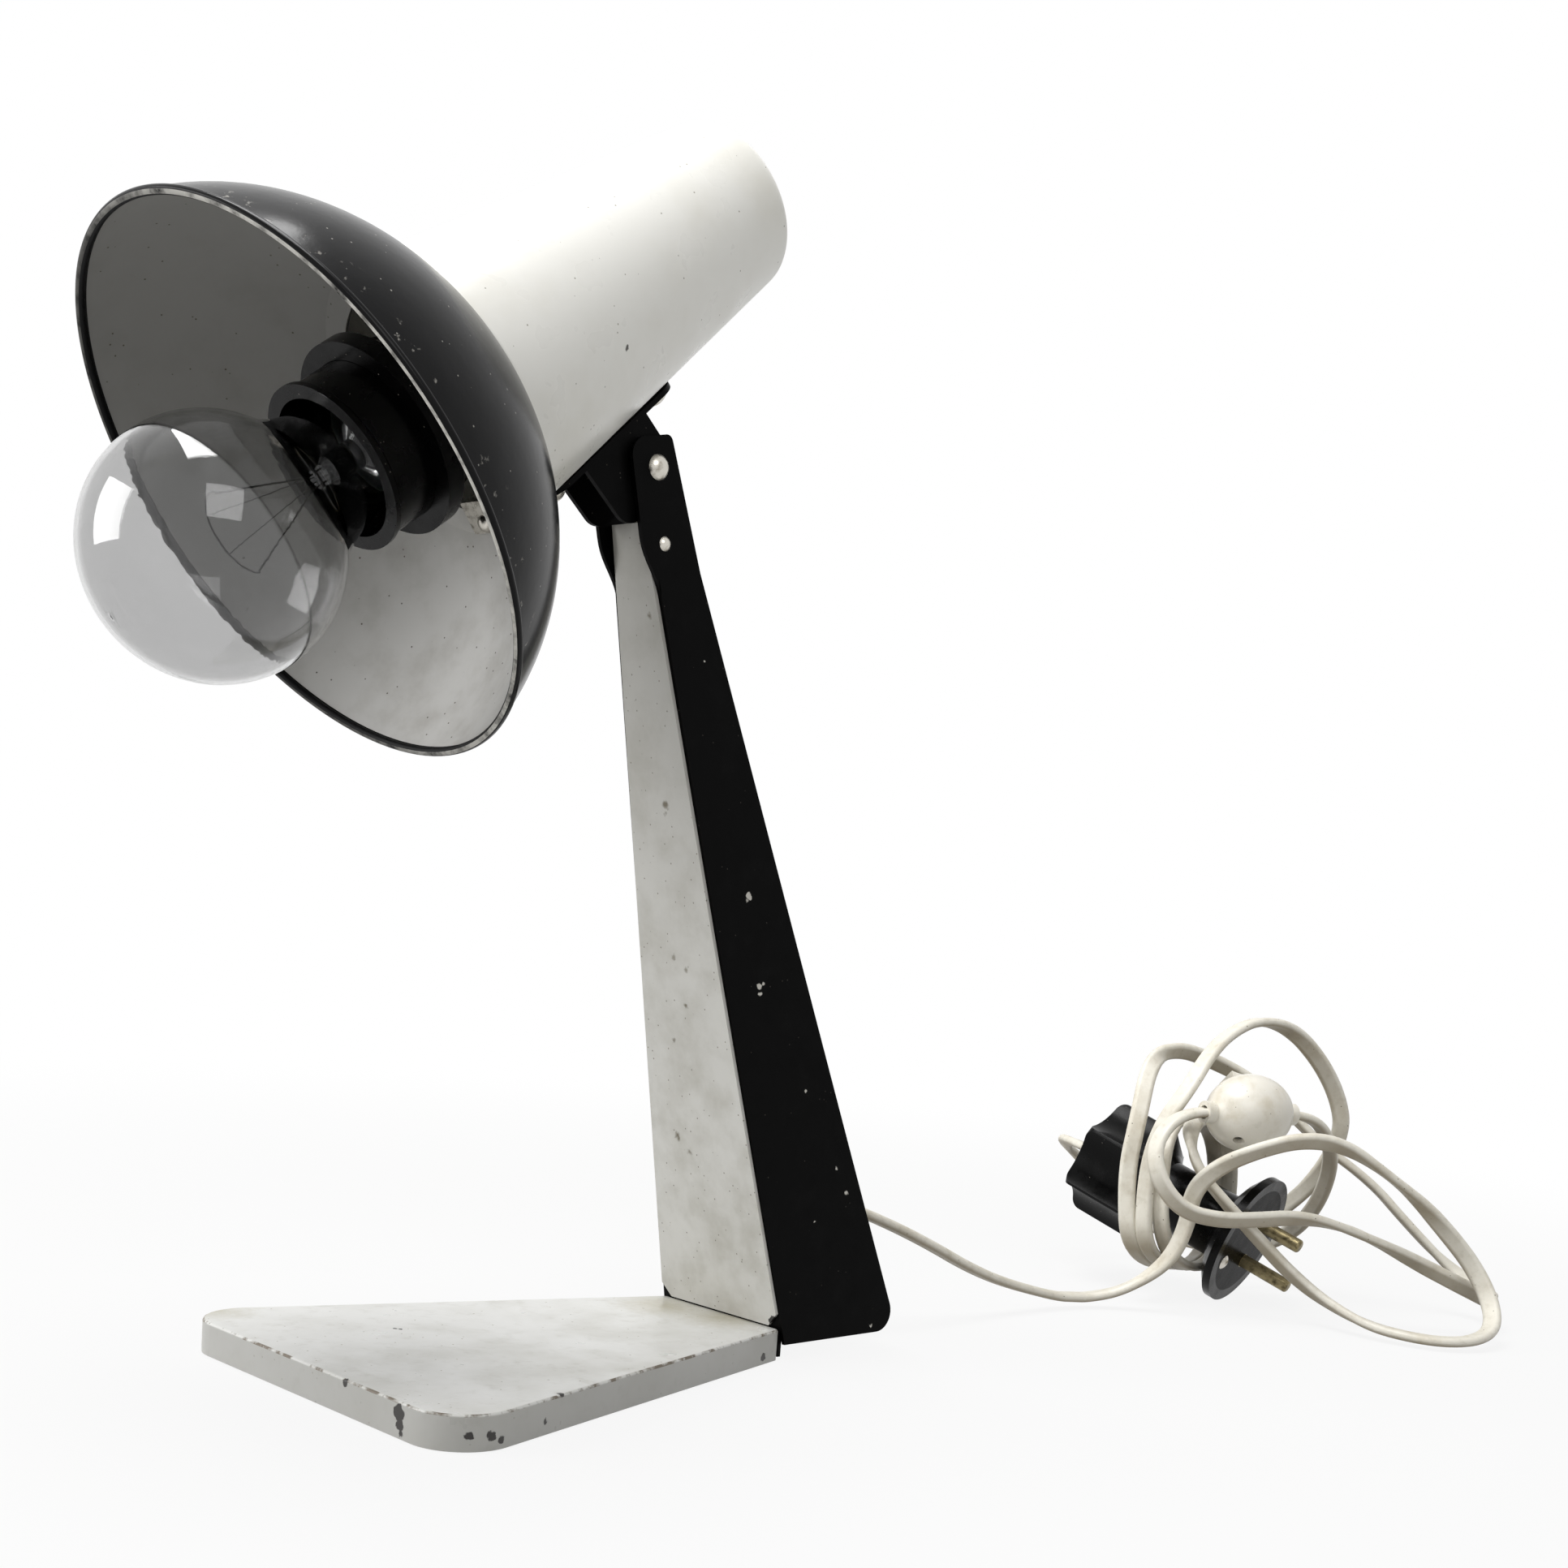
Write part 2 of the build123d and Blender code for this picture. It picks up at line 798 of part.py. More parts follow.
# Holder bridge: a bent strip whose feet are screwed to the shade's flange
bridge_front = flange_front - bridge_sheet
with BuildPart() as holder_bridge:
    with BuildSketch(head_profile.offset(-bridge_width / 2)):
        with BuildLine():
            Polyline(
                (bridge_front, bridge_reach),
                (dome_end, bridge_reach),
                (dome_end, -bridge_reach),
                (bridge_front, -bridge_reach),
                (bridge_front, -bridge_foot_end),
                (flange_front, -bridge_foot_end),
                (flange_front, -bridge_reach - bridge_sheet),
                (dome_end + bridge_sheet, -bridge_reach - bridge_sheet),
                (dome_end + bridge_sheet, bridge_reach + bridge_sheet),
                (flange_front, bridge_reach + bridge_sheet),
                (flange_front, bridge_foot_end),
                (bridge_front, bridge_foot_end),
                close=True,
            )
        make_face()
    extrude(amount=bridge_width)
    with Locations(head_section(dome_end)):
        Hole(nipple_radius)
        with Locations((0, bridge_screw_place), (0, -bridge_screw_place)):
            Hole(bridge_screw_radius + rivet_fit)
save(holder_bridge.part, "holder_bridge")

bridge_screw_planes = [
    Plane(origin=head_point(bridge_front, side * bridge_screw_place), x_dir=head_back, z_dir=(1, 0, 0))
    for side in (-1, 1)
]
bridge_stack = shade_depth + housing_wall - bridge_front
save(
    domed(
        bridge_screw_planes,
        bridge_stack + bridge_nut,
        bridge_screw_radius,
        bridge_screw_head_radius,
        bridge_screw_head,
    ),
    "bridge_screws",
)
bridge_nut_planes = [
    Plane(
        origin=head_point(shade_depth + housing_wall, side * bridge_screw_place),
        x_dir=(1, 0, 0),
        z_dir=head_back,
    )
    for side in (-1, 1)
]
save(nuts(bridge_nut_planes, bridge_nut_radius, bridge_nut, bridge_screw_radius), "bridge_nuts")

# Lampholder, from the open end back
skirt_bore = skirt_radius - skirt_wall
save(
    turned(
        (skirt_start, skirt_bore),
        (skirt_start, skirt_radius + skirt_bead),
        (skirt_start + skirt_bead_length - skirt_bead, skirt_radius + skirt_bead),
        (skirt_start + skirt_bead_length, skirt_radius),
        (skirt_end, skirt_radius),
        (skirt_end, skirt_bore),
    ),
    "holder_skirt",
)
save(
    tube(
        head_profile,
        ring_place,
        ring_place + ring_length,
        ring_radius,
        skirt_radius + holder_fit,
    ),
    "shade_ring",
)
body_spigot = skirt_bore - holder_fit
body_recess = body_radius - body_wall
save(
    turned(
        (body_start, body_bore),
        (body_start, body_spigot),
        (skirt_end, body_spigot),
        (skirt_end, body_radius),
        (body_end, body_radius),
        (body_end, body_recess),
        (insert_start, body_recess),
        (insert_start, body_bore),
    ),
    "holder_body",
)
insert_radius = body_recess - holder_fit
insert_end = insert_start + insert_length
dome_spigot = insert_radius - dome_wall
dome_inside = dome_end - dome_wall
dome_boss_bore = nipple_radius + running_fit
save(
    turned(
        (insert_end, dome_spigot),
        (insert_end, insert_radius),
        (body_end, insert_radius),
        (body_end, body_radius),
        (body_end + dome_boss, body_radius - dome_shoulder),
        (dome_end - dome_wall / 2, dome_tip_radius + dome_wall),
        (dome_end, dome_tip_radius),
        (dome_end, dome_boss_bore),
        (dome_end - dome_boss, dome_boss_bore),
        (dome_end - dome_boss, dome_boss_radius),
        (dome_inside, dome_boss_radius),
        (dome_inside, dome_tip_radius),
        (body_end + dome_boss, dome_spigot),
    ),
    "dome_cap",
)
contact_face = insert_start - insert_boss
save(
    turned(
        (contact_face, 0),
        (contact_face, insert_boss_radius),
        (insert_start, insert_boss_radius),
        (insert_start, insert_radius),
        (insert_end, insert_radius),
        (insert_end, 0),
    ),
    "porcelain_insert",
)
shell_inner = cap_radius + shell_fit
save(
    tube(head_profile, shell_start, insert_start, shell_inner + shell_wall, shell_inner),
    "screw_shell",
)
with BuildPart() as centre_contact:
    with BuildSketch(head_section(contact_face - spring_contact)):
        Circle(cap_contact_radius - holder_fit)
    extrude(amount=spring_contact)
save(centre_contact.part, "centre_contact")
with BuildPart() as terminal_screws:
    with BuildSketch(head_section(insert_end)):
        with Locations((terminal_offset, 0), (-terminal_offset, 0)):
            Circle(terminal_radius)
    extrude(amount=terminal_height)
save(terminal_screws.part, "terminal_screws")
nipple_start = dome_end - dome_boss
save(
    tube(head_profile, nipple_start, nipple_start + nipple_length, nipple_radius, nipple_bore),
    "threaded_nipple",
)
nut_face = head_section(dome_end + bridge_sheet)
save(nuts([nut_face], lock_nut_radius, lock_nut, nipple_radius), "lock_nut")

# Bulb
bulb_centre = bulb_tip + bulb_radius
shoulder = bulb_radius / math.sqrt(2)
with BuildPart() as bulb_glass:
    for inset, mode in ((0, Mode.ADD), (bulb_glass_wall, Mode.SUBTRACT)):
        with BuildSketch(head_profile):
            with BuildLine():
                ThreePointArc(
                    (bulb_tip + inset, 0),
                    (bulb_centre, bulb_radius - inset),
                    (bulb_centre + shoulder, shoulder - inset * math.sqrt(2)),
                )
                Spline(
                    (bulb_centre + shoulder, shoulder - inset * math.sqrt(2)),
                    (bulb_neck_place, bulb_neck_radius - inset),
                    tangents=((1, -1), (1, -0.15)),
                )
                Polyline(
                    (bulb_neck_place, bulb_neck_radius - inset),
                    (bulb_neck_end, bulb_neck_end_radius - inset),
                    (bulb_neck_end, 0),
                    (bulb_tip + inset, 0),
                )
            make_face()
        revolve(axis=head_axis, mode=mode)
save(bulb_glass.part, "bulb_glass")
save(
    turned(
        (cap_start, cap_radius - cap_wall),
        (cap_start, cap_radius),
        (cap_shoulder, cap_radius),
        (cap_end, cap_end_radius),
        (cap_end, cap_end_radius - cap_wall),
        (cap_shoulder - cap_wall, cap_radius - cap_wall),
    ),
    "bulb_cap",
)
insulator_end = cap_end + cap_insulator
save(
    turned(
        (cap_end, 0),
        (cap_end, cap_end_radius),
        (insulator_end, cap_contact_radius + cap_insulator),
        (insulator_end, 0),
    ),
    "cap_insulator",
)
with BuildPart() as cap_tip:
    with BuildSketch(head_section(insulator_end)):
        Circle(cap_contact_radius)
    extrude(amount=cap_contact)
save(cap_tip.part, "cap_contact")
save(
    turned(
        (bulb_neck_end - mount_flare_gap, 0),
        (bulb_neck_end - mount_flare_gap, mount_flare_radius),
        (bulb_neck_end - mount_flare_gap - mount_flare, (mount_flare_radius + mount_stem_radius) / 2),
        (mount_tip + mount_stem_length, mount_stem_radius),
        (mount_tip + mount_pinch, mount_stem_radius),
        (mount_tip, mount_tip_radius),
        (mount_tip, 0),
    ),
    "bulb_mount",
)
lead_route = [
    (mount_tip, lead_spacing / 2),
    (mount_tip - lead_root, lead_spacing / 2 + lead_root_spread),
    (filament_place, filament_radius - filament_end_gap),
]
save(
    wires(
        [[head_point(along, side * down) for along, down in lead_route] for side in (-1, 1)],
        lead_wire,
    ),
    "lead_wires",
)
with BuildPart() as filament:
    with BuildLine() as filament_line:
        ThreePointArc(
            head_point(filament_place, filament_radius),
            head_point(filament_place, 0, -filament_radius),
            head_point(filament_place, -filament_radius),
        )
    with BuildSketch(Plane(origin=filament_line.line @ 0, z_dir=filament_line.line % 0)):
        Circle(lead_wire / 2)
    sweep()
save(filament.part, "filament")


def on_ring(angle, radius):
    """A place on a circle about the head's axis at the filament, by its angle from below."""
    turn = math.radians(angle)
    return head_point(filament_place, radius * math.cos(turn), -radius * math.sin(turn))


save(
    wires(
        [
            [
                head_point(mount_tip, math.cos(math.radians(angle)), -math.sin(math.radians(angle))),
                on_ring(angle, filament_radius - lead_wire),
            ]
            for angle in support_angles
        ],
        lead_wire / 2,
    ),
    "filament_supports",
)

# Clip that holds the flex to the back of the web, and its rivet
clip_bore = flex_diameter / 2 + flex_fit
clip_centre = stem_sheet + clip_bore
clip_leg = clip_centre - stem_sheet
clip_foot_width = clip_tab + clip_rivet_head_radius - clip_bore
clip_foot = stem_point(0, clip_height - clip_width / 2, 0)
with BuildPart() as cord_clip:
    with BuildSketch(Plane(origin=clip_foot, x_dir=(1, 0, 0), z_dir=stem_up)):
        for radius, mode in ((clip_bore + clip_sheet, Mode.ADD), (clip_bore, Mode.SUBTRACT)):
            with Locations((0, clip_centre)):
                Circle(radius, mode=mode)
            with Locations((0, stem_sheet + clip_leg / 2)):
                Rectangle(2 * radius, clip_leg, mode=mode)
        Rectangle(2 * clip_width, 2 * stem_sheet, mode=Mode.SUBTRACT)
        with Locations((clip_bore + clip_foot_width / 2, stem_sheet + clip_sheet / 2)):
            Rectangle(clip_foot_width, clip_sheet)
    extrude(amount=clip_width)
    with Locations(Plane(origin=stem_point(clip_tab, clip_height, 0), z_dir=stem_back)):
        Hole(clip_rivet_radius)
save(cord_clip.part, "cord_clip")
clip_stack = stem_sheet + clip_sheet
clip_rivet_plane = Plane(
    origin=stem_point(clip_tab, clip_height, clip_stack), x_dir=stem_back * -1, z_dir=(1, 0, 0)
)
save(
    domed([clip_rivet_plane], clip_stack, clip_rivet_radius, clip_rivet_head_radius, clip_rivet_head),
    "clip_rivet",
)

# Flex inside the stem, measured up and back from the foot of its front face
stem_route = [(24, 40), (34, 21), (45, 8.4), (58, 3.6), (82, 3.55), (110, 3.9), (150, 5), (190, 5.6)]
stem_route += [(218.5, 8.5), (235, -0.5)]
save(wires([[stem_point(0, up, back) for up, back in stem_route]], flex_diameter), "flex_stem")

# Flex through the grommet, and its two cores to the lampholder's terminals
flex_entry = grommet_plane.origin + strap_normal * flex_head_outside
flex_end = grommet_plane.origin - strap_normal * flex_head_inside
save(wires([[flex_entry, flex_end]], flex_diameter), "flex_head")
core_half = core_spacing / 2
core_route = [(88, 14), (95, 8), (104, 5.5), (107, 0.5), (102, -2.6), (92, -1.2), (78, 0)]
core_end = [(66.5, 1.3), (62.5, 4.6), (insert_end + terminal_height + core_diameter, terminal_offset)]
save(
    wires(
        [
            [
                flex_end + Vector(side * core_half, 0, 0) - strap_normal * run
                for run in (flex_fit, core_start)
            ]
            + [head_point(along, down, side * core_half) for along, down in core_route]
            + [head_point(along, 0, side * apart) for along, apart in core_end]
            for side in (-1, 1)
        ],
        core_diameter,
    ),
    "flex_cores",
)

# Frame of the tangle: to the right, nearer and up, as one sees it from the lamp's front corner
turned_by = math.radians(tangle_turn)
tangle_right = Vector(math.cos(turned_by), math.sin(turned_by), 0)
tangle_near = Vector(math.sin(turned_by), -math.cos(turned_by), 0)


def tangle_vector(right, near, up):
    return tangle_right * right + tangle_near * near + Vector(0, 0, up)


def tangle_point(right, near, up):
    """A point of the tangle: to the right of its origin, nearer than it and above the table."""
    return Vector(*tangle_origin, 0) + tangle_vector(right, near, up)


# Plug body: fluted grip, waist and flared front, hollow for the cores and the pins' roots
yaw = math.radians(plug_yaw)
drop = math.radians(plug_drop)
plug_axis = tangle_vector(
    math.cos(drop) * math.cos(yaw), math.cos(drop) * math.sin(yaw), -math.sin(drop)
)
plug_rear = tangle_point(*plug_face_place) - plug_axis * plug_length
pin_line = plug_axis.cross(tangle_right).normalized()
plug_profile = Plane(origin=plug_rear, x_dir=plug_axis, z_dir=pin_line.cross(plug_axis))
face_seat = plug_length - plug_face_thickness


def plug_point(along, aside=0.0):
    """A point along the plug's axis from the grip's end, and aside from it towards a pin."""
    return plug_rear + plug_axis * along + pin_line * aside


def plug_section(along):
    """The plane square to the plug's axis at a place along it, its X side towards a pin."""
    return Plane(origin=plug_point(along), x_dir=pin_line, z_dir=plug_axis)


with BuildPart() as plug_body:
    with BuildSketch(plug_profile) as plug_outline:
        with BuildLine():
            Polyline(
                (0, plug_bush_root_radius),
                (0, grip_radius),
                (grip_end, grip_radius),
                (grip_taper_end, grip_taper_radius),
                (plug_waist_start, plug_waist_radius),
                (plug_waist_end, plug_waist_radius),
                (plug_flare_end, plug_flare_radius),
                (plug_disc_start, plug_disc_radius),
                (plug_length, plug_disc_radius),
                (plug_length, plug_face_radius),
                (face_seat, plug_face_radius),
                (face_seat, terminal_room_radius),
                (terminal_room_place, terminal_room_radius),
                (terminal_room_place, plug_core_bore),
                (plug_bush_root, plug_core_bore),
                (plug_bush_root, plug_bush_root_radius),
                close=True,
            )
        make_face()
        fillet(plug_outline.vertices().sort_by_distance(plug_point(0, grip_radius))[:1], grip_corner)
        fillet(
            plug_outline.vertices().sort_by_distance(plug_point(grip_end, grip_radius))[:1],
            grip_corner,
        )
    revolve(axis=Axis(plug_rear, plug_axis))
    with BuildSketch(plug_section(0)):
        with PolarLocations(grip_radius + flute_radius - flute_depth, grip_flutes):
            Circle(flute_radius)
    extrude(amount=plug_waist_start, mode=Mode.SUBTRACT)
    with BuildSketch(plug_section(plug_length)):
        with Locations((0, cover_screw_place), (0, -cover_screw_place)):
            Circle(cover_screw_radius)
    extrude(amount=-cover_screw_length, mode=Mode.SUBTRACT)
save(plug_body.part, "plug_body")

# Plug face with its pins and cover screws
with BuildPart() as plug_face:
    with BuildSketch(plug_section(plug_length)):
        Circle(plug_face_radius)
        with Locations((pin_spacing / 2, 0), (-pin_spacing / 2, 0)):
            Circle(pin_root_radius, mode=Mode.SUBTRACT)
        with Locations((0, cover_screw_place), (0, -cover_screw_place)):
            Circle(cover_screw_radius, mode=Mode.SUBTRACT)
    extrude(amount=-plug_face_thickness)
save(plug_face.part, "plug_face")
with BuildPart() as plug_pins:
    with BuildSketch(plug_section(plug_length - pin_root)):
        with Locations((pin_spacing / 2, 0), (-pin_spacing / 2, 0)):
            Circle(pin_root_radius)
    extrude(amount=pin_root)
    with BuildSketch(plug_section(plug_length)):
        with Locations((pin_spacing / 2, 0), (-pin_spacing / 2, 0)):
            Circle(pin_radius)
    extrude(amount=pin_reach)
    pin_ends = plug_pins.faces().sort_by(Axis(plug_rear, plug_axis))[-2:]
    fillet(pin_ends.edges(), radius=pin_tip_radius)
save(plug_pins.part, "plug_pins")
plug_side = pin_line.cross(plug_axis)
cover_screw_planes = [
    Plane(
        origin=plug_point(plug_length) + plug_side * side * cover_screw_place,
        x_dir=plug_axis * -1,
        z_dir=pin_line,
    )
    for side in (-1, 1)
]
save(
    domed(
        cover_screw_planes,
        cover_screw_length,
        cover_screw_radius,
        cover_screw_head_radius,
        cover_screw_head,
    ),
    "cover_screws",
)

# Bush at the plug's rear, and the cores through it to the pins
bush_bore = core_half + core_diameter / 2 + flex_fit
save(
    turned(
        (-plug_bush_length, bush_bore),
        (-plug_bush_length, plug_bush_nose_radius),
        (0, plug_bush_flange_radius),
        (0, plug_bush_root_radius),
        (plug_bush_root, plug_bush_root_radius),
        (plug_bush_root, bush_bore),
        plane=plug_profile,
    ),
    "plug_bush",
)
core_bend = (terminal_room_place + plug_length - pin_root) / 2
core_landing = [(-plug_bush_length, core_half), (core_bend - core_spread_lead, core_half + core_spread)]
core_landing += [(core_bend, plug_core_bore), (core_bend + flex_fit, pin_spacing / 2)]
save(
    wires(
        [[plug_point(along, side * aside) for along, aside in core_landing] for side in (-1, 1)],
        core_diameter,
    ),
    "plug_cores",
)

# Switch shells: two halves of an egg with a nose at each end, bosses between them
switch_left = tangle_point(*switch_start)
switch_right = tangle_point(*switch_end)
switch_axis = (switch_right - switch_left).normalized()
switch_middle = (switch_left + switch_right) / 2
switch_half = (switch_right - switch_left).length / 2
roll = math.radians(switch_roll)
switch_away = Vector(0, 0, 1).cross(switch_axis)
window_normal = switch_away * math.cos(roll) + Vector(0, 0, 1) * math.sin(roll)
rocker_axis = switch_axis.cross(window_normal)


def switch_plane(height):
    """A plane level with the shells' joint, at a height from it, with its X axis along the switch."""
    return Plane(
        origin=switch_middle + window_normal * height, x_dir=switch_axis, z_dir=window_normal
    )


def switch_shell(side):
    """Half an egg with half a nose at each end, open towards the other shell."""
    reach = 2 * (switch_half + nose_length)
    with BuildPart() as shell:
        with BuildSketch(switch_plane(0)):
            Ellipse(switch_half, switch_radius)
            Rectangle(reach, 2 * nose_radius)
            Ellipse(switch_half - switch_wall, switch_radius - switch_wall, mode=Mode.SUBTRACT)
            Rectangle(reach, 2 * clip_bore, mode=Mode.SUBTRACT)
            with Locations((0, -switch_radius)):
                Rectangle(reach, 2 * switch_radius, mode=Mode.SUBTRACT)
        revolve(axis=Axis(switch_middle, switch_axis), revolution_arc=side * 180)
    return shell.part


lug_middle = (window_width + lug_thickness) / 2
with BuildPart() as switch_upper:
    add(switch_shell(1))
    with BuildSketch(switch_plane(contact_thickness)):
        with GridLocations(2 * boss_place, 1, 2, 1):
            Circle(upper_boss_radius)
    extrude(amount=boss_top - contact_thickness)
    with BuildSketch(switch_plane(0)):
        Rectangle(window_length, window_width)
    extrude(amount=switch_radius, mode=Mode.SUBTRACT)
    for side in (-1, 1):
        lug_plane = Plane(
            origin=switch_middle + rocker_axis * side * window_width / 2,
            x_dir=switch_axis,
            z_dir=rocker_axis * side,
        )
        with BuildSketch(lug_plane):
            with Locations((0, side * axle_height)):
                Circle(lug_radius)
            with Locations((0, side * (axle_height + lug_top) / 2)):
                Rectangle(2 * lug_radius, lug_top - axle_height)
            with Locations((0, side * axle_height)):
                Circle(axle_radius, mode=Mode.SUBTRACT)
        extrude(amount=lug_thickness)
    with BuildSketch(switch_plane(0)):
        with GridLocations(2 * boss_place, 1, 2, 1):
            Circle(shell_screw_radius)
    extrude(amount=shell_screw_length - shell_screw_seat, mode=Mode.SUBTRACT)
save(switch_upper.part, "switch_upper")
with BuildPart() as switch_lower:
    add(switch_shell(-1))
    with BuildSketch(switch_plane(0)):
        with GridLocations(2 * boss_place, 1, 2, 1):
            Circle(lower_boss_radius)
    extrude(amount=-boss_top)
    with Locations(switch_plane(0)):
        with GridLocations(2 * boss_place, 1, 2, 1):
            Hole(shell_screw_radius)
    with BuildSketch(switch_plane(-shell_screw_seat)):
        with GridLocations(2 * boss_place, 1, 2, 1):
            Circle(shell_screw_head_radius + rivet_fit)
    extrude(amount=shell_screw_seat - switch_radius, mode=Mode.SUBTRACT)
save(switch_lower.part, "switch_lower")

# Inside the switch: shell screws, contact strips, the rocker's axle and the rocker
shell_screw_planes = [
    Plane(
        origin=switch_plane(-shell_screw_seat).origin + switch_axis * side * boss_place,
        x_dir=window_normal,
        z_dir=switch_axis,
    )
    for side in (-1, 1)
]
save(
    domed(
        shell_screw_planes,
        shell_screw_length,
        shell_screw_radius,
        shell_screw_head_radius,
        shell_screw_head,
    ),
    "shell_screws",
)
with BuildPart() as contact_strips:
    with BuildSketch(switch_plane(0)):
        with GridLocations(2 * boss_place, 1, 2, 1):
            Rectangle(contact_length, contact_width)
            Circle(shell_screw_radius, mode=Mode.SUBTRACT)
    extrude(amount=contact_thickness)
save(contact_strips.part, "contact_strips")
rocker_place = switch_middle + window_normal * axle_height
with BuildPart() as rocker_axle:
    with BuildSketch(Plane(origin=rocker_place, z_dir=rocker_axis)):
        Circle(axle_radius)
    extrude(amount=window_width / 2 + lug_thickness, both=True)
save(rocker_axle.part, "rocker_axle")
tilt = math.radians(rocker_tilt)
rocker_plane = Plane(
    origin=rocker_place,
    x_dir=switch_axis * math.cos(tilt) - window_normal * math.sin(tilt),
    z_dir=rocker_axis,
)
with BuildPart() as rocker:
    with BuildSketch(rocker_plane):
        with BuildLine():
            ThreePointArc(
                (-rocker_length / 2, rocker_top),
                (0, rocker_top - rocker_hollow),
                (rocker_length / 2, rocker_top),
            )
            Polyline(
                (rocker_length / 2, rocker_top),
                rocker_waist,
                (rocker_hub, -rocker_hub),
                (-rocker_hub, -rocker_hub),
                (-rocker_waist[0], rocker_waist[1]),
                (-rocker_length / 2, rocker_top),
            )
        make_face()
        Circle(axle_radius + running_fit, mode=Mode.SUBTRACT)
    extrude(amount=window_width / 2 - rocker_fit, both=True)
save(rocker.part, "switch_rocker")

# The flex's turns round the plug's waist: squares whose arcs round them off, along a slant
rise = math.radians(turn_rise)
turn_axis = tangle_vector(
    math.cos(rise) * math.cos(yaw), math.cos(rise) * math.sin(yaw), math.sin(rise)
)
turn_front = (turn_axis * turn_axis.dot(tangle_right) - tangle_right).normalized()
turn_top = turn_front.cross(turn_axis)


def turn_corner(quarter):
    """A corner of the turns, counted in quarters from the one at the top behind the plug."""
    angle = math.radians(135 + 90 * quarter)
    aside = turn_front * math.cos(angle) + turn_top * math.sin(angle)
    shift = turn_axis * (turn_start - turn_pitch * quarter / 4)
    return tangle_point(*turn_middle) + shift + aside * turn_half_width * math.sqrt(2)


# Free flex from the stem to the tangle, as places in the lamp's own frame
free_route = [(2.6, 124.5, 36.4), (5.2, 140, 30.4), (7.3, 154, 24.3), (9, 168, 17.6)]
free_route += [(10.2, 182, 12.2), (11, 197.5, 7.8)]
stem_exit = stem_point(0, *stem_route[0])
exit_run = (stem_exit - stem_point(0, *stem_route[1])).normalized() * exit_lead
tangle_entry = tangle_point(-41.1, 41.8, 3.7)
entry_run = tangle_point(-35.4, 38.5, 3.3) - tangle_entry
free_flex = [stem_exit, stem_exit + exit_run] + [Vector(*point) for point in free_route]
free_flex += [tangle_entry - entry_run, tangle_entry]

# The tangled flex, as places right, near and up in the tangle's frame, from its entry to the switch
arriving = [(-35.4, 38.5, 3.3), (-24.4, 36.5, 5.6), (-14.5, 37, 11.9), (-7.1, 38, 20.3)]
arriving += [(-3.6, 39, 32.3), (-3.7, 42, 43.6), (3.3, 46, 52.8), (15.1, 49, 59.4)]
first_loop = [(29, 51, 64.5), (43.2, 49, 63.5), (57.8, 46, 56), (72.2, 43, 46.4), (85.2, 41, 34.5)]
first_loop += [(94.5, 41, 24.5), (100.5, 45, 13.5), (100, 55, 6), (91.5, 63.5, 3.2), (79, 66.5, 2.7)]
first_loop += [(67, 62, 2.9), (56, 54, 4.2), (43.3, 42, 9.7), (32, 39, 17.8), (21.7, 38, 27.3)]
climbing = [(9, 37.5, 39), (-3, 35, 51.5), (-4, 22, 66)]
tall_loop = [(-17.6, 27.2, 45), (-15, 31, 63), (-6, 29, 77), (1.5, 19, 88), (9.4, 12, 95.6)]
tall_loop += [(21, 5, 100.8), (34.5, -2, 97.9), (46.7, -8, 87.6), (56, -12, 74.7), (60.2, -14, 61.4)]
tall_loop += [(54, -20, 42), (41, -28, 26)]
low_loop = [(-23.6, 23, 45), (-21, 21.5, 64), (-16, 6, 84.5), (-4.3, -6, 87.6), (8.1, -11, 84.3)]
low_loop += [(20.9, -13, 79.2), (34.8, -12, 71.5), (48.6, -8, 58.3), (70, -6, 45), (82, -3, 33)]
low_loop += [(94, -1, 22), (103, 1, 15.5), (109.5, 9.5, 11.5), (110.5, 21.5, 10), (104, 31.5, 12)]
low_loop += [(92, 35, 17), (79, 33, 22.5), (64.1, 35, 29.1), (48.1, 38, 34.7), (33.2, 41, 36.9)]
low_loop += [(18.5, 43.5, 35.2), (5.2, 45, 34.3), (-8, 47.5, 37), (-17, 47.5, 47), (-19, 44, 59)]
flex_tangle = [tangle_entry]
flex_tangle += [tangle_point(*point) for point in arriving + first_loop + climbing]
flex_tangle += [turn_corner(quarter) for quarter in range(7)]
flex_tangle += [tangle_point(*point) for point in tall_loop]
flex_tangle += [turn_corner(quarter) for quarter in (9, 10)]
flex_tangle += [tangle_point(*point) for point in low_loop]
flex_tangle += [switch_left - switch_axis * switch_lead, switch_left]

# The flex from the switch to the plug, in the same frame
plug_route = [(50, 8, 60), (53, -3, 48), (52, -14, 35), (47, -27, 24), (36, -39, 17), (20, -49, 15)]
plug_route += [(4, -57, 18.5), (-8, -62, 26.5), (-20, -63.5, 36), (-34.7, -59.7, 45)]
plug_route += [(-44.2, -49.1, 50.5)]
plug_flex = [switch_right, switch_right + switch_axis * (switch_lead - 1)]
plug_flex += [tangle_point(*point) for point in plug_route]
plug_flex += [plug_point(-plug_bush_length - plug_lead), plug_point(-plug_bush_length)]


def strand_points(route):
    """Points about a millimetre apart along a route's runs and arcs."""
    with BuildLine() as path:
        FilletPolyline(*route, radius=arc_radii(route))
    strand = path.wires()[0]
    count = round(strand.length)
    return [tuple(strand @ (step / count)) for step in range(count + 1)]


def least_gap(strands, diameter):
    """The least gap between strands that lie three diameters or more apart along the flex."""
    points = [(index, place) for index, place in enumerate(strands)]
    apart = 3 * round(diameter)
    return min(
        math.dist(place, other) - diameter
        for index, place in points
        for later, other in points[index + apart :]
    )


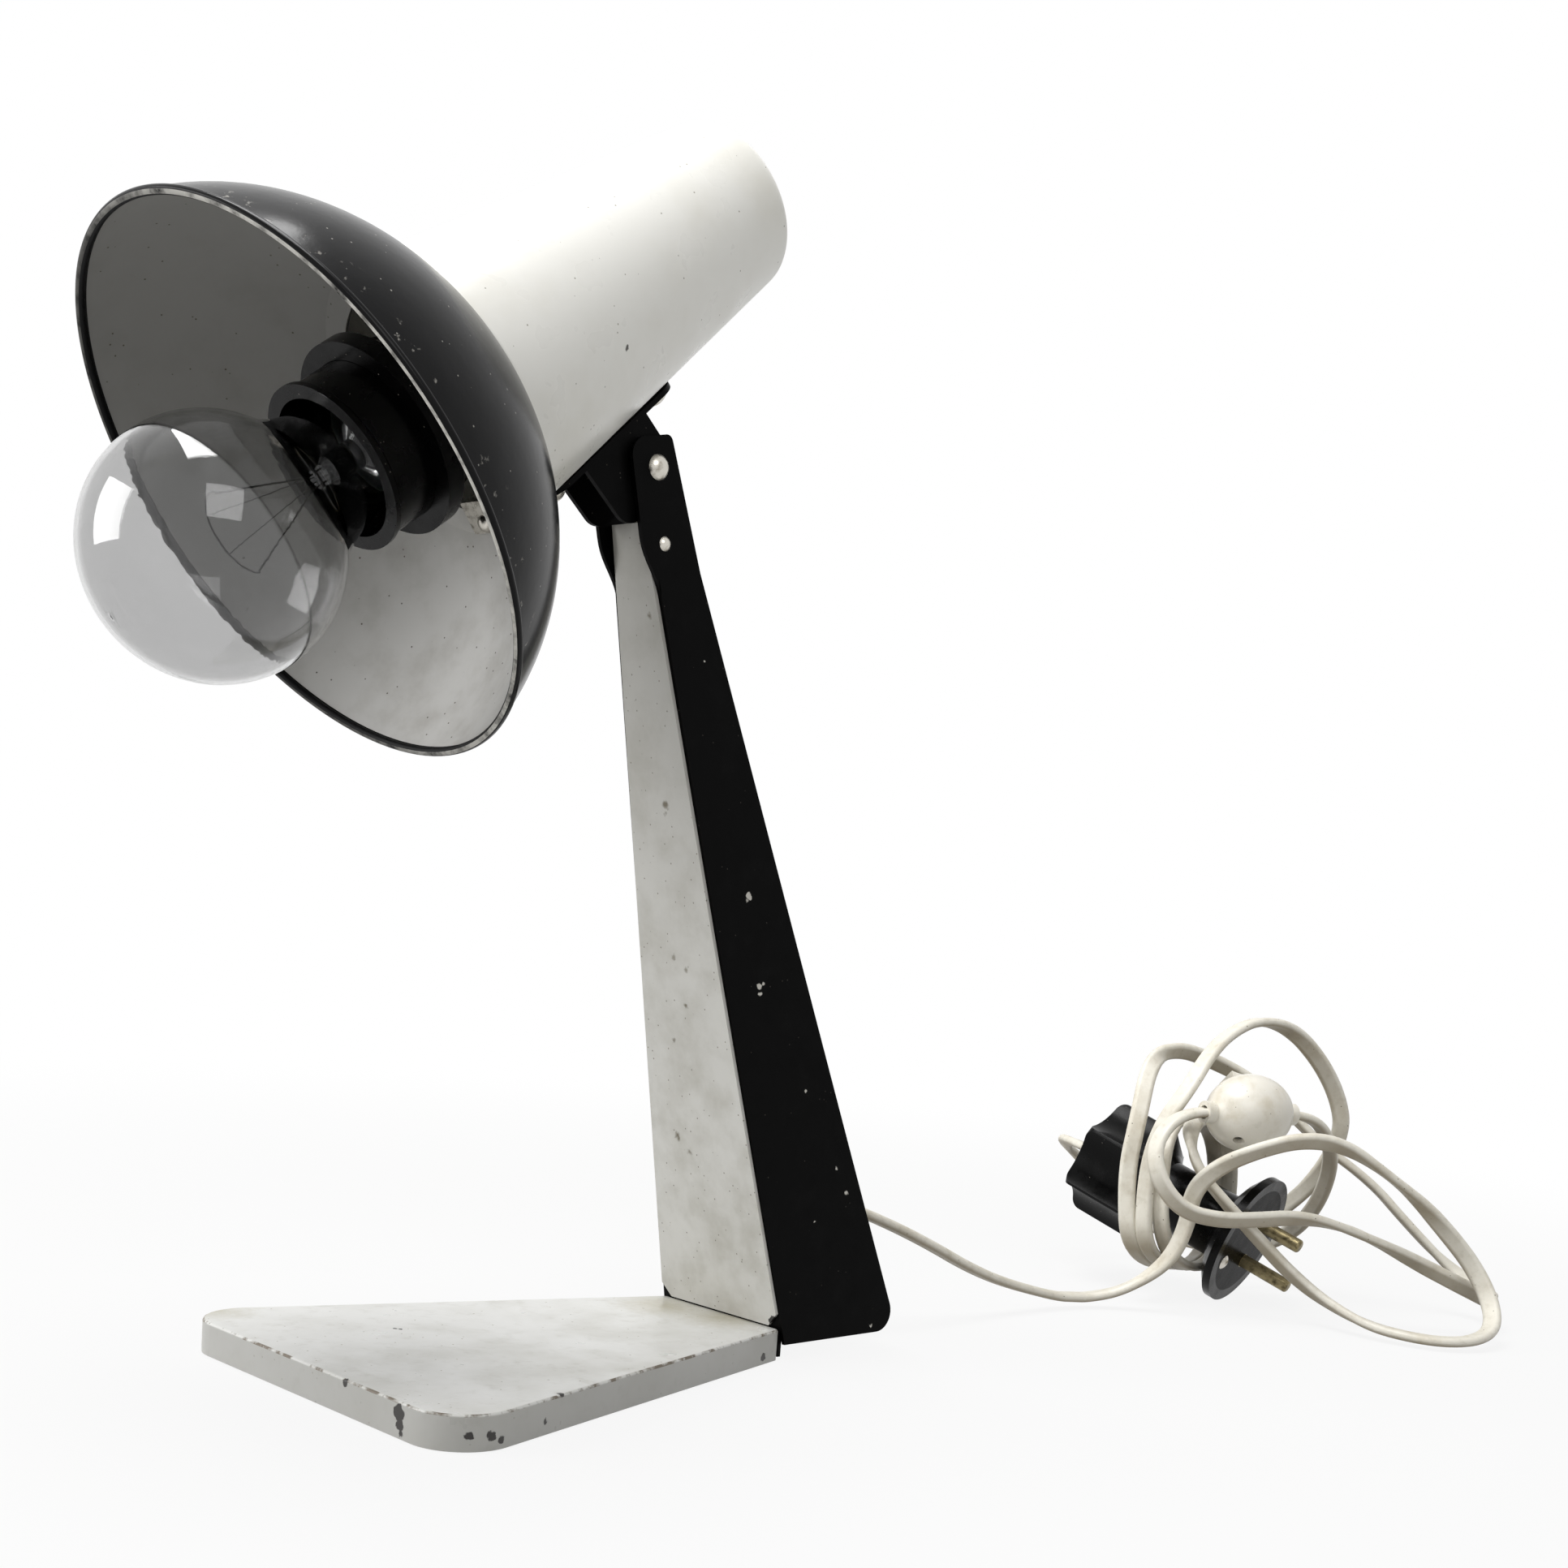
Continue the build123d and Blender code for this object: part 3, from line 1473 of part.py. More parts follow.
for name, route in (("free_flex", free_flex), ("flex_tangle", flex_tangle), ("plug_flex", plug_flex)):
    flex = wires([route], flex_diameter)
    save(flex, name)
    length = flex.volume / (math.pi * flex_diameter**2 / 4)
    print(name, "radii", [round(radius, 1) for radius in arc_radii(route)])
    print(name, "volume over section", round(length, 1), "mm, points", len(strand_points(route)))
tangle_strands = strand_points(flex_tangle)
print("least gap of flex_tangle to itself", round(least_gap(tangle_strands, flex_diameter), 2), "mm")
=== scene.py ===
import math

import bpy
from mathutils import Matrix, Quaternion, Vector


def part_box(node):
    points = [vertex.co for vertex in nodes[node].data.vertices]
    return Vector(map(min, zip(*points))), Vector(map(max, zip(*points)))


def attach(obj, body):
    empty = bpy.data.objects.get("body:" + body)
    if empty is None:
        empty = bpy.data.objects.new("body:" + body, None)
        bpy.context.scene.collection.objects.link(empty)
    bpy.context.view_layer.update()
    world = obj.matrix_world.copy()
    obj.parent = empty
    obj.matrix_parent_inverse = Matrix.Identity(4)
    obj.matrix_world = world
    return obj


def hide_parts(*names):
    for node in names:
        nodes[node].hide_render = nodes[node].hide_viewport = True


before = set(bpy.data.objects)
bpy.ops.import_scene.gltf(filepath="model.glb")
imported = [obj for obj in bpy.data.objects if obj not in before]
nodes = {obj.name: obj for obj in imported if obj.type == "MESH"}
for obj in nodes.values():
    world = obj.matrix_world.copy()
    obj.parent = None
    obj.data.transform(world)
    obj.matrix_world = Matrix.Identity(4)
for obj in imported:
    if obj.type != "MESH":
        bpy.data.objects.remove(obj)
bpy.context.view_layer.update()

scene = bpy.context.scene
MM = 0.001


def mm(*place):
    """A place given in millimetres, in metres."""
    return Vector(place) * MM


# Camera: low in front of the lamp's right side, level with the stem's middle
camera_place = mm(444.70, -346.67, 138.77)
camera_right = Vector((0.69216, 0.71756, 0.07765))
camera_up = Vector((-0.15655, 0.04423, 0.98668))
camera_back = Vector((0.70456, -0.69509, 0.14294))
camera_data = bpy.data.cameras.new("camera")
camera_data.sensor_width = 36
camera_data.lens = 48.22
camera_data.shift_y = 0.2505
camera_data.clip_start = 0.01
camera = bpy.data.objects.new("camera", camera_data)
scene.collection.objects.link(camera)
camera.matrix_world = Matrix.Translation(camera_place) @ Matrix(
    (camera_right, camera_up, camera_back)
).transposed().to_4x4()
scene.camera = camera

# Frame of the stem: up along its front face, and back from it
stem_lean = math.radians(14)
stem_foot = mm(0, 70.5, 9)
stem_up = Vector((0, -math.sin(stem_lean), math.cos(stem_lean)))
stem_back = Vector((0, math.cos(stem_lean), math.sin(stem_lean)))

# Frame of the tangle: to the right, nearer and up, as seen from the lamp's front corner
tangle_turn = math.radians(46)
tangle_place = mm(13, 278, 0)
tangle_right = Vector((math.cos(tangle_turn), math.sin(tangle_turn), 0))
tangle_near = Vector((math.sin(tangle_turn), -math.cos(tangle_turn), 0))
tangle_up = Vector((0, 0, 1))


def stem_point(up, back):
    """A point up the stem's front face from its foot, and back from it, in mm."""
    return stem_foot + (stem_up * up + stem_back * back) * MM


def tangle_vector(right, near, up):
    """A direction in the tangle's frame."""
    return tangle_right * right + tangle_near * near + tangle_up * up


def tangle_point(right, near, up):
    """A point in the tangle's frame, in mm."""
    return tangle_place + tangle_vector(right, near, up) * MM


# Plug and switch in the tangle, as the CAD has them
plug_yaw = math.radians(35)
plug_dip = math.radians(20)
plug_length = 66
plug_axis = tangle_vector(
    math.cos(plug_dip) * math.cos(plug_yaw),
    math.cos(plug_dip) * math.sin(plug_yaw),
    -math.sin(plug_dip),
)
plug_rear = tangle_point(24, 12, 22.9) - plug_axis * plug_length * MM
switch_left = tangle_point(1.5, 33, 69.5)
switch_right = tangle_point(30.3, 20, 69.5)
switch_axis = (switch_right - switch_left).normalized()

# Turns of flex round the plug, a quarter at a time
turn_radius = 26.5
turn_pitch = 5.4
turn_place = 7
turn_start = 135
turn_tilt = math.radians(6)
turn_middle = tangle_point(0.5, 3.5, 37.5)
turn_axis = tangle_vector(
    math.cos(turn_tilt) * math.cos(plug_yaw),
    math.cos(turn_tilt) * math.sin(plug_yaw),
    math.sin(turn_tilt),
)
turn_front = (turn_axis * turn_axis.dot(tangle_right) - tangle_right).normalized()
turn_top = turn_front.cross(turn_axis)


def turn_corner(quarter):
    """A corner of the square that the spline rounds off into a turn."""
    angle = math.radians(turn_start + 90 * quarter)
    spoke = turn_front * math.cos(angle) + turn_top * math.sin(angle)
    along = turn_axis * (turn_place - turn_pitch * quarter / 4)
    return turn_middle + (along + spoke * turn_radius * math.sqrt(2)) * MM


# Ways that the flat flex's broad side runs in, for points of its routes
flat = Vector((1, 0, 0))
facing = tangle_right
upright = tangle_up
across = tangle_near
under = tangle_vector(0, 0.5, 0.87)
sloped = tangle_vector(0.6, 0.2, 0.8)
half_faced = tangle_vector(0.7, 0.7, 0)
lapped = turn_axis

# Route of the long flex: out of the stem, down to the table, through the tangle to the switch
exit_length = 9.3
stem_exit = stem_point(24, 40)
exit_run = (stem_exit - stem_point(34, 21)).normalized() * exit_length * MM
tangle_entry = tangle_point(-41.1, 41.8, 3.7)
entry_run = tangle_point(-35.4, 38.5, 3.3) - tangle_entry
long_route = [
    (stem_exit, flat),
    (stem_exit + exit_run, flat),
    (mm(2.6, 124.5, 36.4), flat),
    (mm(5.2, 140, 30.4), flat),
    (mm(7.3, 154, 24.3), flat),
    (mm(9, 168, 17.6), flat),
    (mm(10.2, 182, 12.2), flat),
    (mm(11, 197.5, 7.8), flat),
    (tangle_entry - entry_run, None),
    (tangle_entry, flat),
]
arriving = [
    ((-35.4, 38.5, 3.3), None),
    ((-24.4, 36.5, 5.6), across),
    ((-14.5, 37, 11.9), None),
    ((-7.1, 38, 20.3), half_faced),
    ((-3.6, 39, 32.3), None),
    ((-3.7, 42, 43.6), None),
    ((3.3, 46, 52.8), None),
    ((15.1, 49, 59.4), under),
]
first_loop = [
    ((29, 51, 64.5), under),
    ((43.2, 49, 63.5), None),
    ((57.8, 46, 56), across),
    ((72.2, 43, 46.4), None),
    ((85.2, 41, 34.5), sloped),
    ((94.5, 41, 24.5), None),
    ((100.5, 45, 13.5), half_faced),
    ((99.2, 54.2, 6), None),
    ((90.7, 62.7, 3.2), across),
    ((79, 66.5, 2.7), across),
    ((67, 62, 2.9), across),
    ((56, 54, 4.2), None),
    ((43.3, 42, 9.7), None),
    ((32, 39, 17.8), half_faced),
    ((21.7, 38, 27.3), None),
]
climbing = [((9, 37.5, 39), None), ((-3, 35, 51.5), across), ((-4, 22, 66), facing)]
tall_loop = [
    ((-17.6, 27.2, 45), None),
    ((-15, 31, 63), half_faced),
    ((-6, 29, 77), None),
    ((1.5, 19, 88), half_faced),
    ((9.4, 12, 95.6), None),
    ((21, 5, 100.8), across),
    ((34.5, -2, 97.9), None),
    ((46.7, -8, 87.6), sloped),
    ((56, -12, 74.7), facing),
    ((60.2, -14, 61.4), facing),
    ((54, -20, 42), None),
    ((41, -28, 26), None),
]
low_loop = [
    ((-23.6, 23, 45), None),
    ((-21, 21.5, 64), facing),
    ((-16, 6, 84.5), facing),
    ((-4.3, -6, 87.6), under),
    ((8.1, -11, 84.3), under),
    ((20.9, -13, 79.2), None),
    ((34.8, -12, 71.5), None),
    ((48.6, -8, 58.3), None),
    ((70, -6, 45), across),
    ((82, -3, 33), None),
    ((94, -1, 22), across),
    ((102.2, 1.6, 15.5), None),
    ((108.4, 9.8, 11.5), facing),
    ((109.4, 21.8, 10), None),
    ((104, 31.5, 12), under),
    ((92, 35, 17), under),
    ((79, 33, 22.5), under),
    ((64.1, 35, 29.1), None),
    ((48.1, 38, 34.7), across),
    ((33.2, 41, 36.9), None),
    ((18.5, 43.5, 35.2), under),
    ((5.2, 45, 34.3), under),
    ((-8, 47.5, 37), None),
    ((-17, 47.5, 47), None),
    ((-19, 44, 59), None),
]


def in_tangle(run):
    """A run of the route with its points placed in the scene."""
    return [(tangle_point(*place), way) for place, way in run]


switch_lead = 12
long_route += in_tangle(arriving + first_loop + climbing)
long_route += [(turn_corner(quarter), lapped) for quarter in range(7)]
long_route += in_tangle(tall_loop)
long_route += [(turn_corner(quarter), lapped) for quarter in (9, 10)]
long_route += in_tangle(low_loop)
long_route += [(switch_left - switch_axis * switch_lead * MM, None), (switch_left, across)]

# Route of the short flex: out of the switch and round behind the plug to its rear
short_lead = 11
plug_lead = 4
between = [
    ((50, 8, 60), None),
    ((54, -3, 48), None),
    ((54, -15, 34), None),
    ((50, -29, 21), None),
    ((39, -42, 12), upright),
    ((20, -53, 10), None),
    ((4, -61, 14), None),
    ((-8, -67, 24), upright),
    ((-20, -65, 33.5), None),
    ((-30, -60.5, 41), None),
    ((-35.5, -52.5, 45.5), across),
    ((-35, -40.5, 48), across),
]
short_route = [(switch_right, across)]
short_route += [(switch_right + switch_axis * short_lead * MM, None)]
short_route += in_tangle(between)
short_route += [(plug_rear - plug_axis * plug_lead * MM, across)]

# Flat twin flex: two round cores side by side in one sheath, with a shallow groove that leaves
# a share of the thickness. Its clip squeezes it narrower.
flex_width = 6.2 * MM
flex_half = 1.55 * MM
flex_groove = 0.8
clipped_width = 4.6 * MM
clipped_run = 0.02
sheath_steps = 7
spline_steps = 10
same_place = 1e-6
least_across = 0.3


def flex_section(width):
    """The sheath's outline as (across, thickness) pairs."""
    centre = width / 2 - flex_half
    outline = []
    for side in (1, -1):
        for step in range(sheath_steps):
            angle = math.radians(-90 + 180 * step / (sheath_steps - 1))
            outline.append(
                (side * (centre + flex_half * math.cos(angle)), side * flex_half * math.sin(angle))
            )
        outline.append((0, side * flex_half * flex_groove))
    return outline


def spline_line(name, places):
    """The points of the smooth NURBS line that these places steer."""
    curve = bpy.data.curves.new(name, "CURVE")
    curve.dimensions = "3D"
    curve.resolution_u = spline_steps
    spline = curve.splines.new("NURBS")
    spline.points.add(len(places) - 1)
    for point, place in zip(spline.points, places):
        point.co = (*place, 1)
    spline.order_u = 3
    spline.use_endpoint_u = True
    holder = bpy.data.objects.new(name, curve)
    scene.collection.objects.link(holder)
    bpy.context.view_layer.update()
    line = bpy.data.meshes.new_from_object(holder)
    points = []
    for vertex in line.vertices:
        if not points or (vertex.co - points[-1]).length > same_place:
            points.append(vertex.co.copy())
    bpy.data.objects.remove(holder)
    bpy.data.curves.remove(curve)
    bpy.data.meshes.remove(line)
    return points


def broad_ways(points, tangents, keys):
    """The flex's broad way at each point: carried along without twist, then turned smoothly
    from one known way to the next, by the shorter turn because both faces are alike. A key is
    a share of the route and the way there; one that runs along the flex is passed over."""
    way = tangents[0].orthogonal().normalized()
    carried = [way]
    for before, after in zip(tangents, tangents[1:]):
        way = before.rotation_difference(after) @ way
        way = (way - after * way.dot(after)).normalized()
        carried.append(way)
    turns = []
    for part, wanted in keys:
        index = round(part * (len(points) - 1))
        tangent = tangents[index]
        level = wanted - tangent * wanted.dot(tangent)
        if level.length < least_across:
            continue
        angle = math.atan2(tangent.dot(carried[index].cross(level)), carried[index].dot(level))
        if turns:
            angle -= math.pi * round((angle - turns[-1][1]) / math.pi)
        turns.append((index, angle))
    ways = []
    for index, (way, tangent) in enumerate(zip(carried, tangents)):
        low = max((turn for turn in turns if turn[0] <= index), default=turns[0])
        high = min((turn for turn in turns if turn[0] >= index), default=turns[-1])
        share = (index - low[0]) / (high[0] - low[0]) if high[0] > low[0] else 0
        angle = low[1] + (high[1] - low[1]) * share * share * (3 - 2 * share)
        ways.append(Quaternion(tangent, angle) @ way)
    return ways


def flat_flex(name, route, narrow_start=0.0, width=flex_width):
    """A mesh of flat flex along the route's spline, its line and its length. Over narrow_start
    metres it widens from the width that the clip leaves it."""
    points = spline_line(name, [place for place, way in route])
    tangents = []
    for index in range(len(points)):
        ahead = points[min(index + 1, len(points) - 1)]
        behind = points[max(index - 1, 0)]
        tangents.append((ahead - behind).normalized())
    keys = [(index / (len(route) - 1), way) for index, (place, way) in enumerate(route) if way]
    ways = broad_ways(points, tangents, keys)
    vertices = []
    travelled = 0.0
    for index, (point, tangent, way) in enumerate(zip(points, tangents, ways)):
        if index:
            travelled += (point - points[index - 1]).length
        here = width
        if travelled < narrow_start:
            here = clipped_width + (width - clipped_width) * travelled / narrow_start
        thick = tangent.cross(way)
        vertices += [point + way * a + thick * t for a, t in flex_section(here)]
    around = len(flex_section(width))
    faces = []
    for ring in range(len(points) - 1):
        for step in range(around):
            first = ring * around + step
            second = ring * around + (step + 1) % around
            faces.append((first, second, second + around, first + around))
    faces.append(tuple(reversed(range(around))))
    faces.append(tuple(range((len(points) - 1) * around, len(points) * around)))
    mesh = bpy.data.meshes.new(name)
    mesh.from_pydata(vertices, [], faces)
    mesh.polygons.foreach_set("use_smooth", [True] * len(faces))
    mesh.update()
    made = bpy.data.objects.new(name, mesh)
    scene.collection.objects.link(made)
    length = sum((b - a).length for a, b in zip(points, points[1:]))
    return made, points, length


flex_long, long_line, long_length = flat_flex("flex_long", long_route, narrow_start=clipped_run)
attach(flex_long, "stand")
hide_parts("free_flex", "flex_tangle")
flex_short, short_line, short_length = flat_flex("flex_short", short_route)
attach(flex_short, "stand")
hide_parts("plug_flex")

# Flex held inside the stem, under its clip
stem_route = [(24, 40), (34, 21), (45, 8.4), (58, 3.6), (82, 3.55), (110, 3.9), (150, 5)]
stem_route += [(190, 5.6), (218.5, 8.5), (235, -0.5)]
flex_in_stem = flat_flex(
    "flex_in_stem", [(stem_point(*place), flat) for place in stem_route], width=clipped_width
)[0]
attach(flex_in_stem, "stand")
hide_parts("flex_stem")

# Flex through the head's grommet, from the low rear corner of its CAD box to the high front one
head_low, head_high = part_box("flex_head")
head_start = Vector((0, head_high.y, head_low.z))
head_end = Vector((0, head_low.y, head_high.z))
head_run = [head_start, (head_start + head_end) / 2, head_end]
flex_in_head = flat_flex(
    "flex_in_head", [(place, flat) for place in head_run], width=clipped_width
)[0]
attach(flex_in_head, "head")
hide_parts("flex_head")


# Materials
def srgb(text):
    """An sRGB hex colour as linear light."""
    channels = [int(text[place : place + 2], 16) / 255 for place in (0, 2, 4)]
    return (*[c / 12.92 if c <= 0.04045 else ((c + 0.055) / 1.055) ** 2.4 for c in channels], 1)


# The Mix node's colour sockets, which share their names with its other ones
MIX_SHARE = 0
MIX_UNDER = 6
MIX_OVER = 7
MIXED = 2


def give(material, node, socket, value):
    """Gives a socket a value, a node's first output, or (node, output)."""
    if isinstance(value, bpy.types.Node):
        value = (value, 0)
    if isinstance(value, tuple) and isinstance(value[0], bpy.types.Node):
        source, output = value
        material.node_tree.links.new(source.outputs[output], node.inputs[socket])
    else:
        node.inputs[socket].default_value = value


def add(material, kind, sockets=None, **settings):
    """Adds a node with its settings and sockets."""
    made = material.node_tree.nodes.new("ShaderNode" + kind)
    for name, value in settings.items():
        setattr(made, name, value)
    for socket, value in (sockets or {}).items():
        give(material, made, socket, value)
    return made


def new_material(name, **sockets):
    """A material with one Principled shader, the shader, and the place on the object."""
    material = bpy.data.materials.new(name)
    material.use_nodes = True
    material.node_tree.nodes.clear()
    values = {socket.replace("_", " "): value for socket, value in sockets.items()}
    shader = add(material, "BsdfPrincipled", values)
    add(material, "OutputMaterial", {"Surface": shader})
    return material, shader, (add(material, "TexCoord"), "Object")


def per_metre(size_mm):
    """Texture scale for features of this size."""
    return 1 / (size_mm * MM)


def grain(place, size_mm, detail=3):
    """Socket values for noise with features of this size."""
    return {"Vector": place, "Scale": per_metre(size_mm), "Detail": detail, "Roughness": 0.6}


def layered(material, under_colour, over, mask):
    """over, a hex colour or a node's output, laid on the colour where the mask is 1."""
    over_colour = srgb(over) if isinstance(over, str) else over
    sockets = {MIX_SHARE: mask, MIX_UNDER: under_colour, MIX_OVER: over_colour}
    return add(material, "Mix", sockets, data_type="RGBA"), MIXED


def clouded(material, place, clean, soiled, size_mm, low=0.45, high=0.75):
    """Colour that drifts between two shades in patches of this size."""
    noise = add(material, "TexNoise", grain(place, size_mm, detail=4))
    drift = add(
        material,
        "MapRange",
        {"Value": noise, "From Min": low, "From Max": high},
        interpolation_type="SMOOTHSTEP",
    )
    return layered(material, srgb(clean), soiled, drift)


def chipped(material, place, chips, ragged_mm=1.2, soft_mm=0.12):
    """1 inside the chips, given as (x, y, z, radius) in mm, with ragged edges."""
    ragged_grain = 2.2
    noise = add(material, "TexNoise", grain(place, ragged_grain))
    shake = add(
        material, "VectorMath", {0: (noise, "Color"), 1: (0.5, 0.5, 0.5)}, operation="SUBTRACT"
    )
    shaken = add(
        material,
        "VectorMath",
        {0: shake, 1: (ragged_mm * 2 * MM,) * 3, 2: place},
        operation="MULTIPLY_ADD",
    )
    outside = []
    for x, y, z, radius in chips:
        reach = add(material, "VectorMath", {0: shaken, 1: mm(x, y, z)}, operation="DISTANCE")
        beyond = {0: (reach, "Value"), 1: radius * MM}
        outside.append(add(material, "Math", beyond, operation="SUBTRACT"))
    nearest = outside[0]
    for other in outside[1:]:
        nearest = add(material, "Math", {0: nearest, 1: other}, operation="MINIMUM")
    edge = {"From Min": -soft_mm * MM, "From Max": soft_mm * MM, "To Min": 1, "To Max": 0}
    return add(material, "MapRange", {"Value": nearest, **edge})


def speckled(material, place, size_mm, share):
    """1 on scattered specks of this size, on this share of cells four specks wide."""
    scale = per_metre(size_mm * 4)
    cells = add(material, "TexVoronoi", {"Vector": place, "Scale": scale}, feature="F1")
    edge = {"From Min": 0.1, "From Max": 0.16, "To Min": 1, "To Max": 0}
    small = add(material, "MapRange", {"Value": cells, **edge})
    chosen = add(material, "SeparateColor", {0: (cells, "Color")})
    some = add(material, "Math", {0: chosen, 1: share}, operation="LESS_THAN")
    return add(material, "Math", {0: small, 1: some}, operation="MULTIPLY")


def rougher(material, shader, place, size_mm, low, high):
    """Roughness that drifts between two values."""
    noise = add(material, "TexNoise", grain(place, size_mm))
    span = {"From Min": 0.3, "From Max": 0.7, "To Min": low, "To Max": high}
    drift = add(material, "MapRange", {"Value": noise, **span})
    give(material, shader, "Roughness", drift)


def bumped(material, shader, height, depth_mm):
    """Shallow relief of this depth, from a height between 0 and 1."""
    bump = add(material, "Bump", {"Height": height, "Distance": depth_mm * MM, "Strength": 1.0})
    give(material, shader, "Normal", bump)


def uneven(material, shader, place, size_mm, depth_mm):
    """Shallow relief with features of this size."""
    bumped(material, shader, add(material, "TexNoise", grain(place, size_mm)), depth_mm)


def paint(material, *names):
    """Gives the named pieces this material in every slot."""
    for name in names:
        data = nodes[name].data
        if not data.materials:
            data.materials.append(material)
        for index in range(len(data.materials)):
            data.materials[index] = material


# Chips and marks as they lie on the object: (x, y, z, radius) in mm
plate_grey_patches = [(-13, 60, 9, 9), (-60, -62, 9, 5), (6, 66, 9, 9)]
plate_chips = [
    (18.8, -70.5, 8.2, 1.0), (42.3, -70.5, 6.3, 2.1), (42.9, -70.5, 3.4, 1.5),
    (43.4, -70.5, 1.6, 0.8), (59.9, -62.8, 3.8, 0.9), (61.3, -57.3, 3.5, 1.3),
    (61.2, -54.3, 2.1, 1.0), (54.3, -31.7, 8.9, 1.1), (56.5, -37.9, 3.3, 0.7),
    (27.4, 62.3, 2.3, 1.1), (-21.5, -29.3, 9.0, 0.7), (-20.3, -28.3, 9.0, 0.6),
]
panel_marks = [
    (2.4, 33.2, 154.4, 1.0), (1.6, 34.0, 151.8, 0.5), (-1.7, 43.6, 112.8, 0.7),
    (1.1, 46.9, 99.4, 0.8), (-9.3, 56.6, 60.6, 0.9), (-4.7, 57.6, 56.5, 0.7),
    (4.6, 21.1, 202.9, 0.6), (3.2, 44.3, 110.0, 0.5), (-6.0, 49.5, 89.0, 0.6),
]
panel_corner = [(24.2, 69.2, 10.5, 2.4)]
stem_chips = [
    (16.2, 54.0, 131.4, 1.1), (16.6, 53.2, 130.0, 0.6), (18.2, 58.7, 106.9, 0.8),
    (18.4, 60.2, 107.6, 0.6), (18.5, 58.9, 104.6, 0.6), (20.8, 77.6, 77.3, 0.5),
    (23.5, 95.1, 47.3, 0.6), (22.8, 90.8, 54.6, 0.35), (23.8, 82.5, 39.6, 0.35),
    (26.9, 106.9, 7.1, 0.5), (11.0, 36.0, 193.0, 0.3),
]
housing_marks = [(29.3, -12.0, 261.1, 0.7), (31.0, 10.0, 283.0, 0.6), (20, -30, 280, 0.3)]


# Stove enamel on the plate: glossy white gone grey in patches and greyer on the sides as painted
# shade, brown where its top edge is worn, dark where it is chipped to the steel
def plate_enamel():
    m, shader, place = new_material("chipped_white_enamel", Roughness=0.32, IOR=1.5)
    colour = clouded(m, place, "DDDDDA", "C3C2BB", size_mm=26, low=0.4, high=0.75)
    fine = clouded(m, place, "DCDCD8", "A9A69A", size_mm=5, low=0.5, high=0.85)
    colour = layered(m, colour, fine, mask=0.4)
    colour = layered(m, colour, "8D8878", speckled(m, place, size_mm=0.5, share=0.12))
    # Darker beige in soft patches, two of them at the stem's foot
    grey_patches = chipped(m, place, plate_grey_patches, ragged_mm=6, soft_mm=9)
    colour = layered(m, colour, "B4AF9C", grey_patches)
    facing = add(m, "SeparateXYZ", {0: (add(m, "TexCoord"), "Normal")})
    # Painted shade: faces turned sideways or down are greyed
    side_shade_ramp = {"From Min": 0.2, "From Max": 0.6, "To Min": 0.7, "To Max": 0}
    painted_side_shade = add(m, "MapRange", {"Value": (facing, "Z"), **side_shade_ramp})
    colour = layered(m, colour, "A9A8A3", painted_side_shade)
    rounding = add(m, "Math", {0: (facing, "Z"), 1: 0.55, 2: 0.4}, operation="COMPARE")
    noise = add(m, "TexNoise", grain(place, size_mm=4))
    worn = add(m, "MapRange", {"Value": noise, "From Min": 0.46, "From Max": 0.6})
    worn = add(m, "Math", {0: rounding, 1: worn}, operation="MULTIPLY")
    colour = layered(m, colour, "6A5F50", worn)
    chips = chipped(m, place, plate_chips)
    colour = layered(m, colour, "221E1B", chips)
    give(m, shader, "Base Color", colour)
    rougher(m, shader, place, size_mm=12, low=0.26, high=0.48)
    whole = add(m, "Math", {0: 1.0, 1: chips}, operation="SUBTRACT")
    bumped(m, shader, whole, depth_mm=0.25)
    return m


# The same enamel on the panel: darker towards the top as painted shade under the head, with rubbed
# marks and a bare lower corner
def panel_enamel():
    m, shader, place = new_material("rubbed_white_enamel", Roughness=0.4, IOR=1.5)
    colour = clouded(m, place, "CBCAC5", "B3B1A9", size_mm=14, low=0.35, high=0.8)
    # Painted shade: the panel darkens towards its top, under the head
    top_shade_ramp = {"From Min": 60 * MM, "From Max": 210 * MM, "To Max": 0.6}
    height = add(m, "SeparateXYZ", {0: place})
    shaded_top = add(m, "MapRange", {"Value": (height, "Z"), **top_shade_ramp})
    colour = layered(m, colour, "9C9A94", shaded_top)
    colour = layered(m, colour, "79746A", speckled(m, place, size_mm=0.45, share=0.3))
    marks = chipped(m, place, panel_marks, ragged_mm=1.6, soft_mm=0.5)
    colour = layered(m, colour, "6A6353", marks)
    colour = layered(m, colour, "1C1A18", chipped(m, place, panel_corner))
    give(m, shader, "Base Color", colour)
    rougher(m, shader, place, size_mm=10, low=0.34, high=0.52)
    uneven(m, shader, place, size_mm=1.2, depth_mm=0.02)
    return m


# Black stoving paint on folded sheet: nearly matt, so it stays black; bright where knocked off
def stem_paint():
    m, shader, place = new_material(
        "black_stoving_paint", Roughness=0.42, IOR=1.5, Specular_IOR_Level=0.04
    )
    colour = clouded(m, place, "030303", "080808", size_mm=9, low=0.5, high=0.8)
    colour = layered(m, colour, "C9C6BE", chipped(m, place, stem_chips, ragged_mm=1.0))
    colour = layered(m, colour, "3E3B37", speckled(m, place, size_mm=0.35, share=0.05))
    give(m, shader, "Base Color", colour)
    rougher(m, shader, place, size_mm=6, low=0.36, high=0.55)
    uneven(m, shader, place, size_mm=1.5, depth_mm=0.03)
    return m


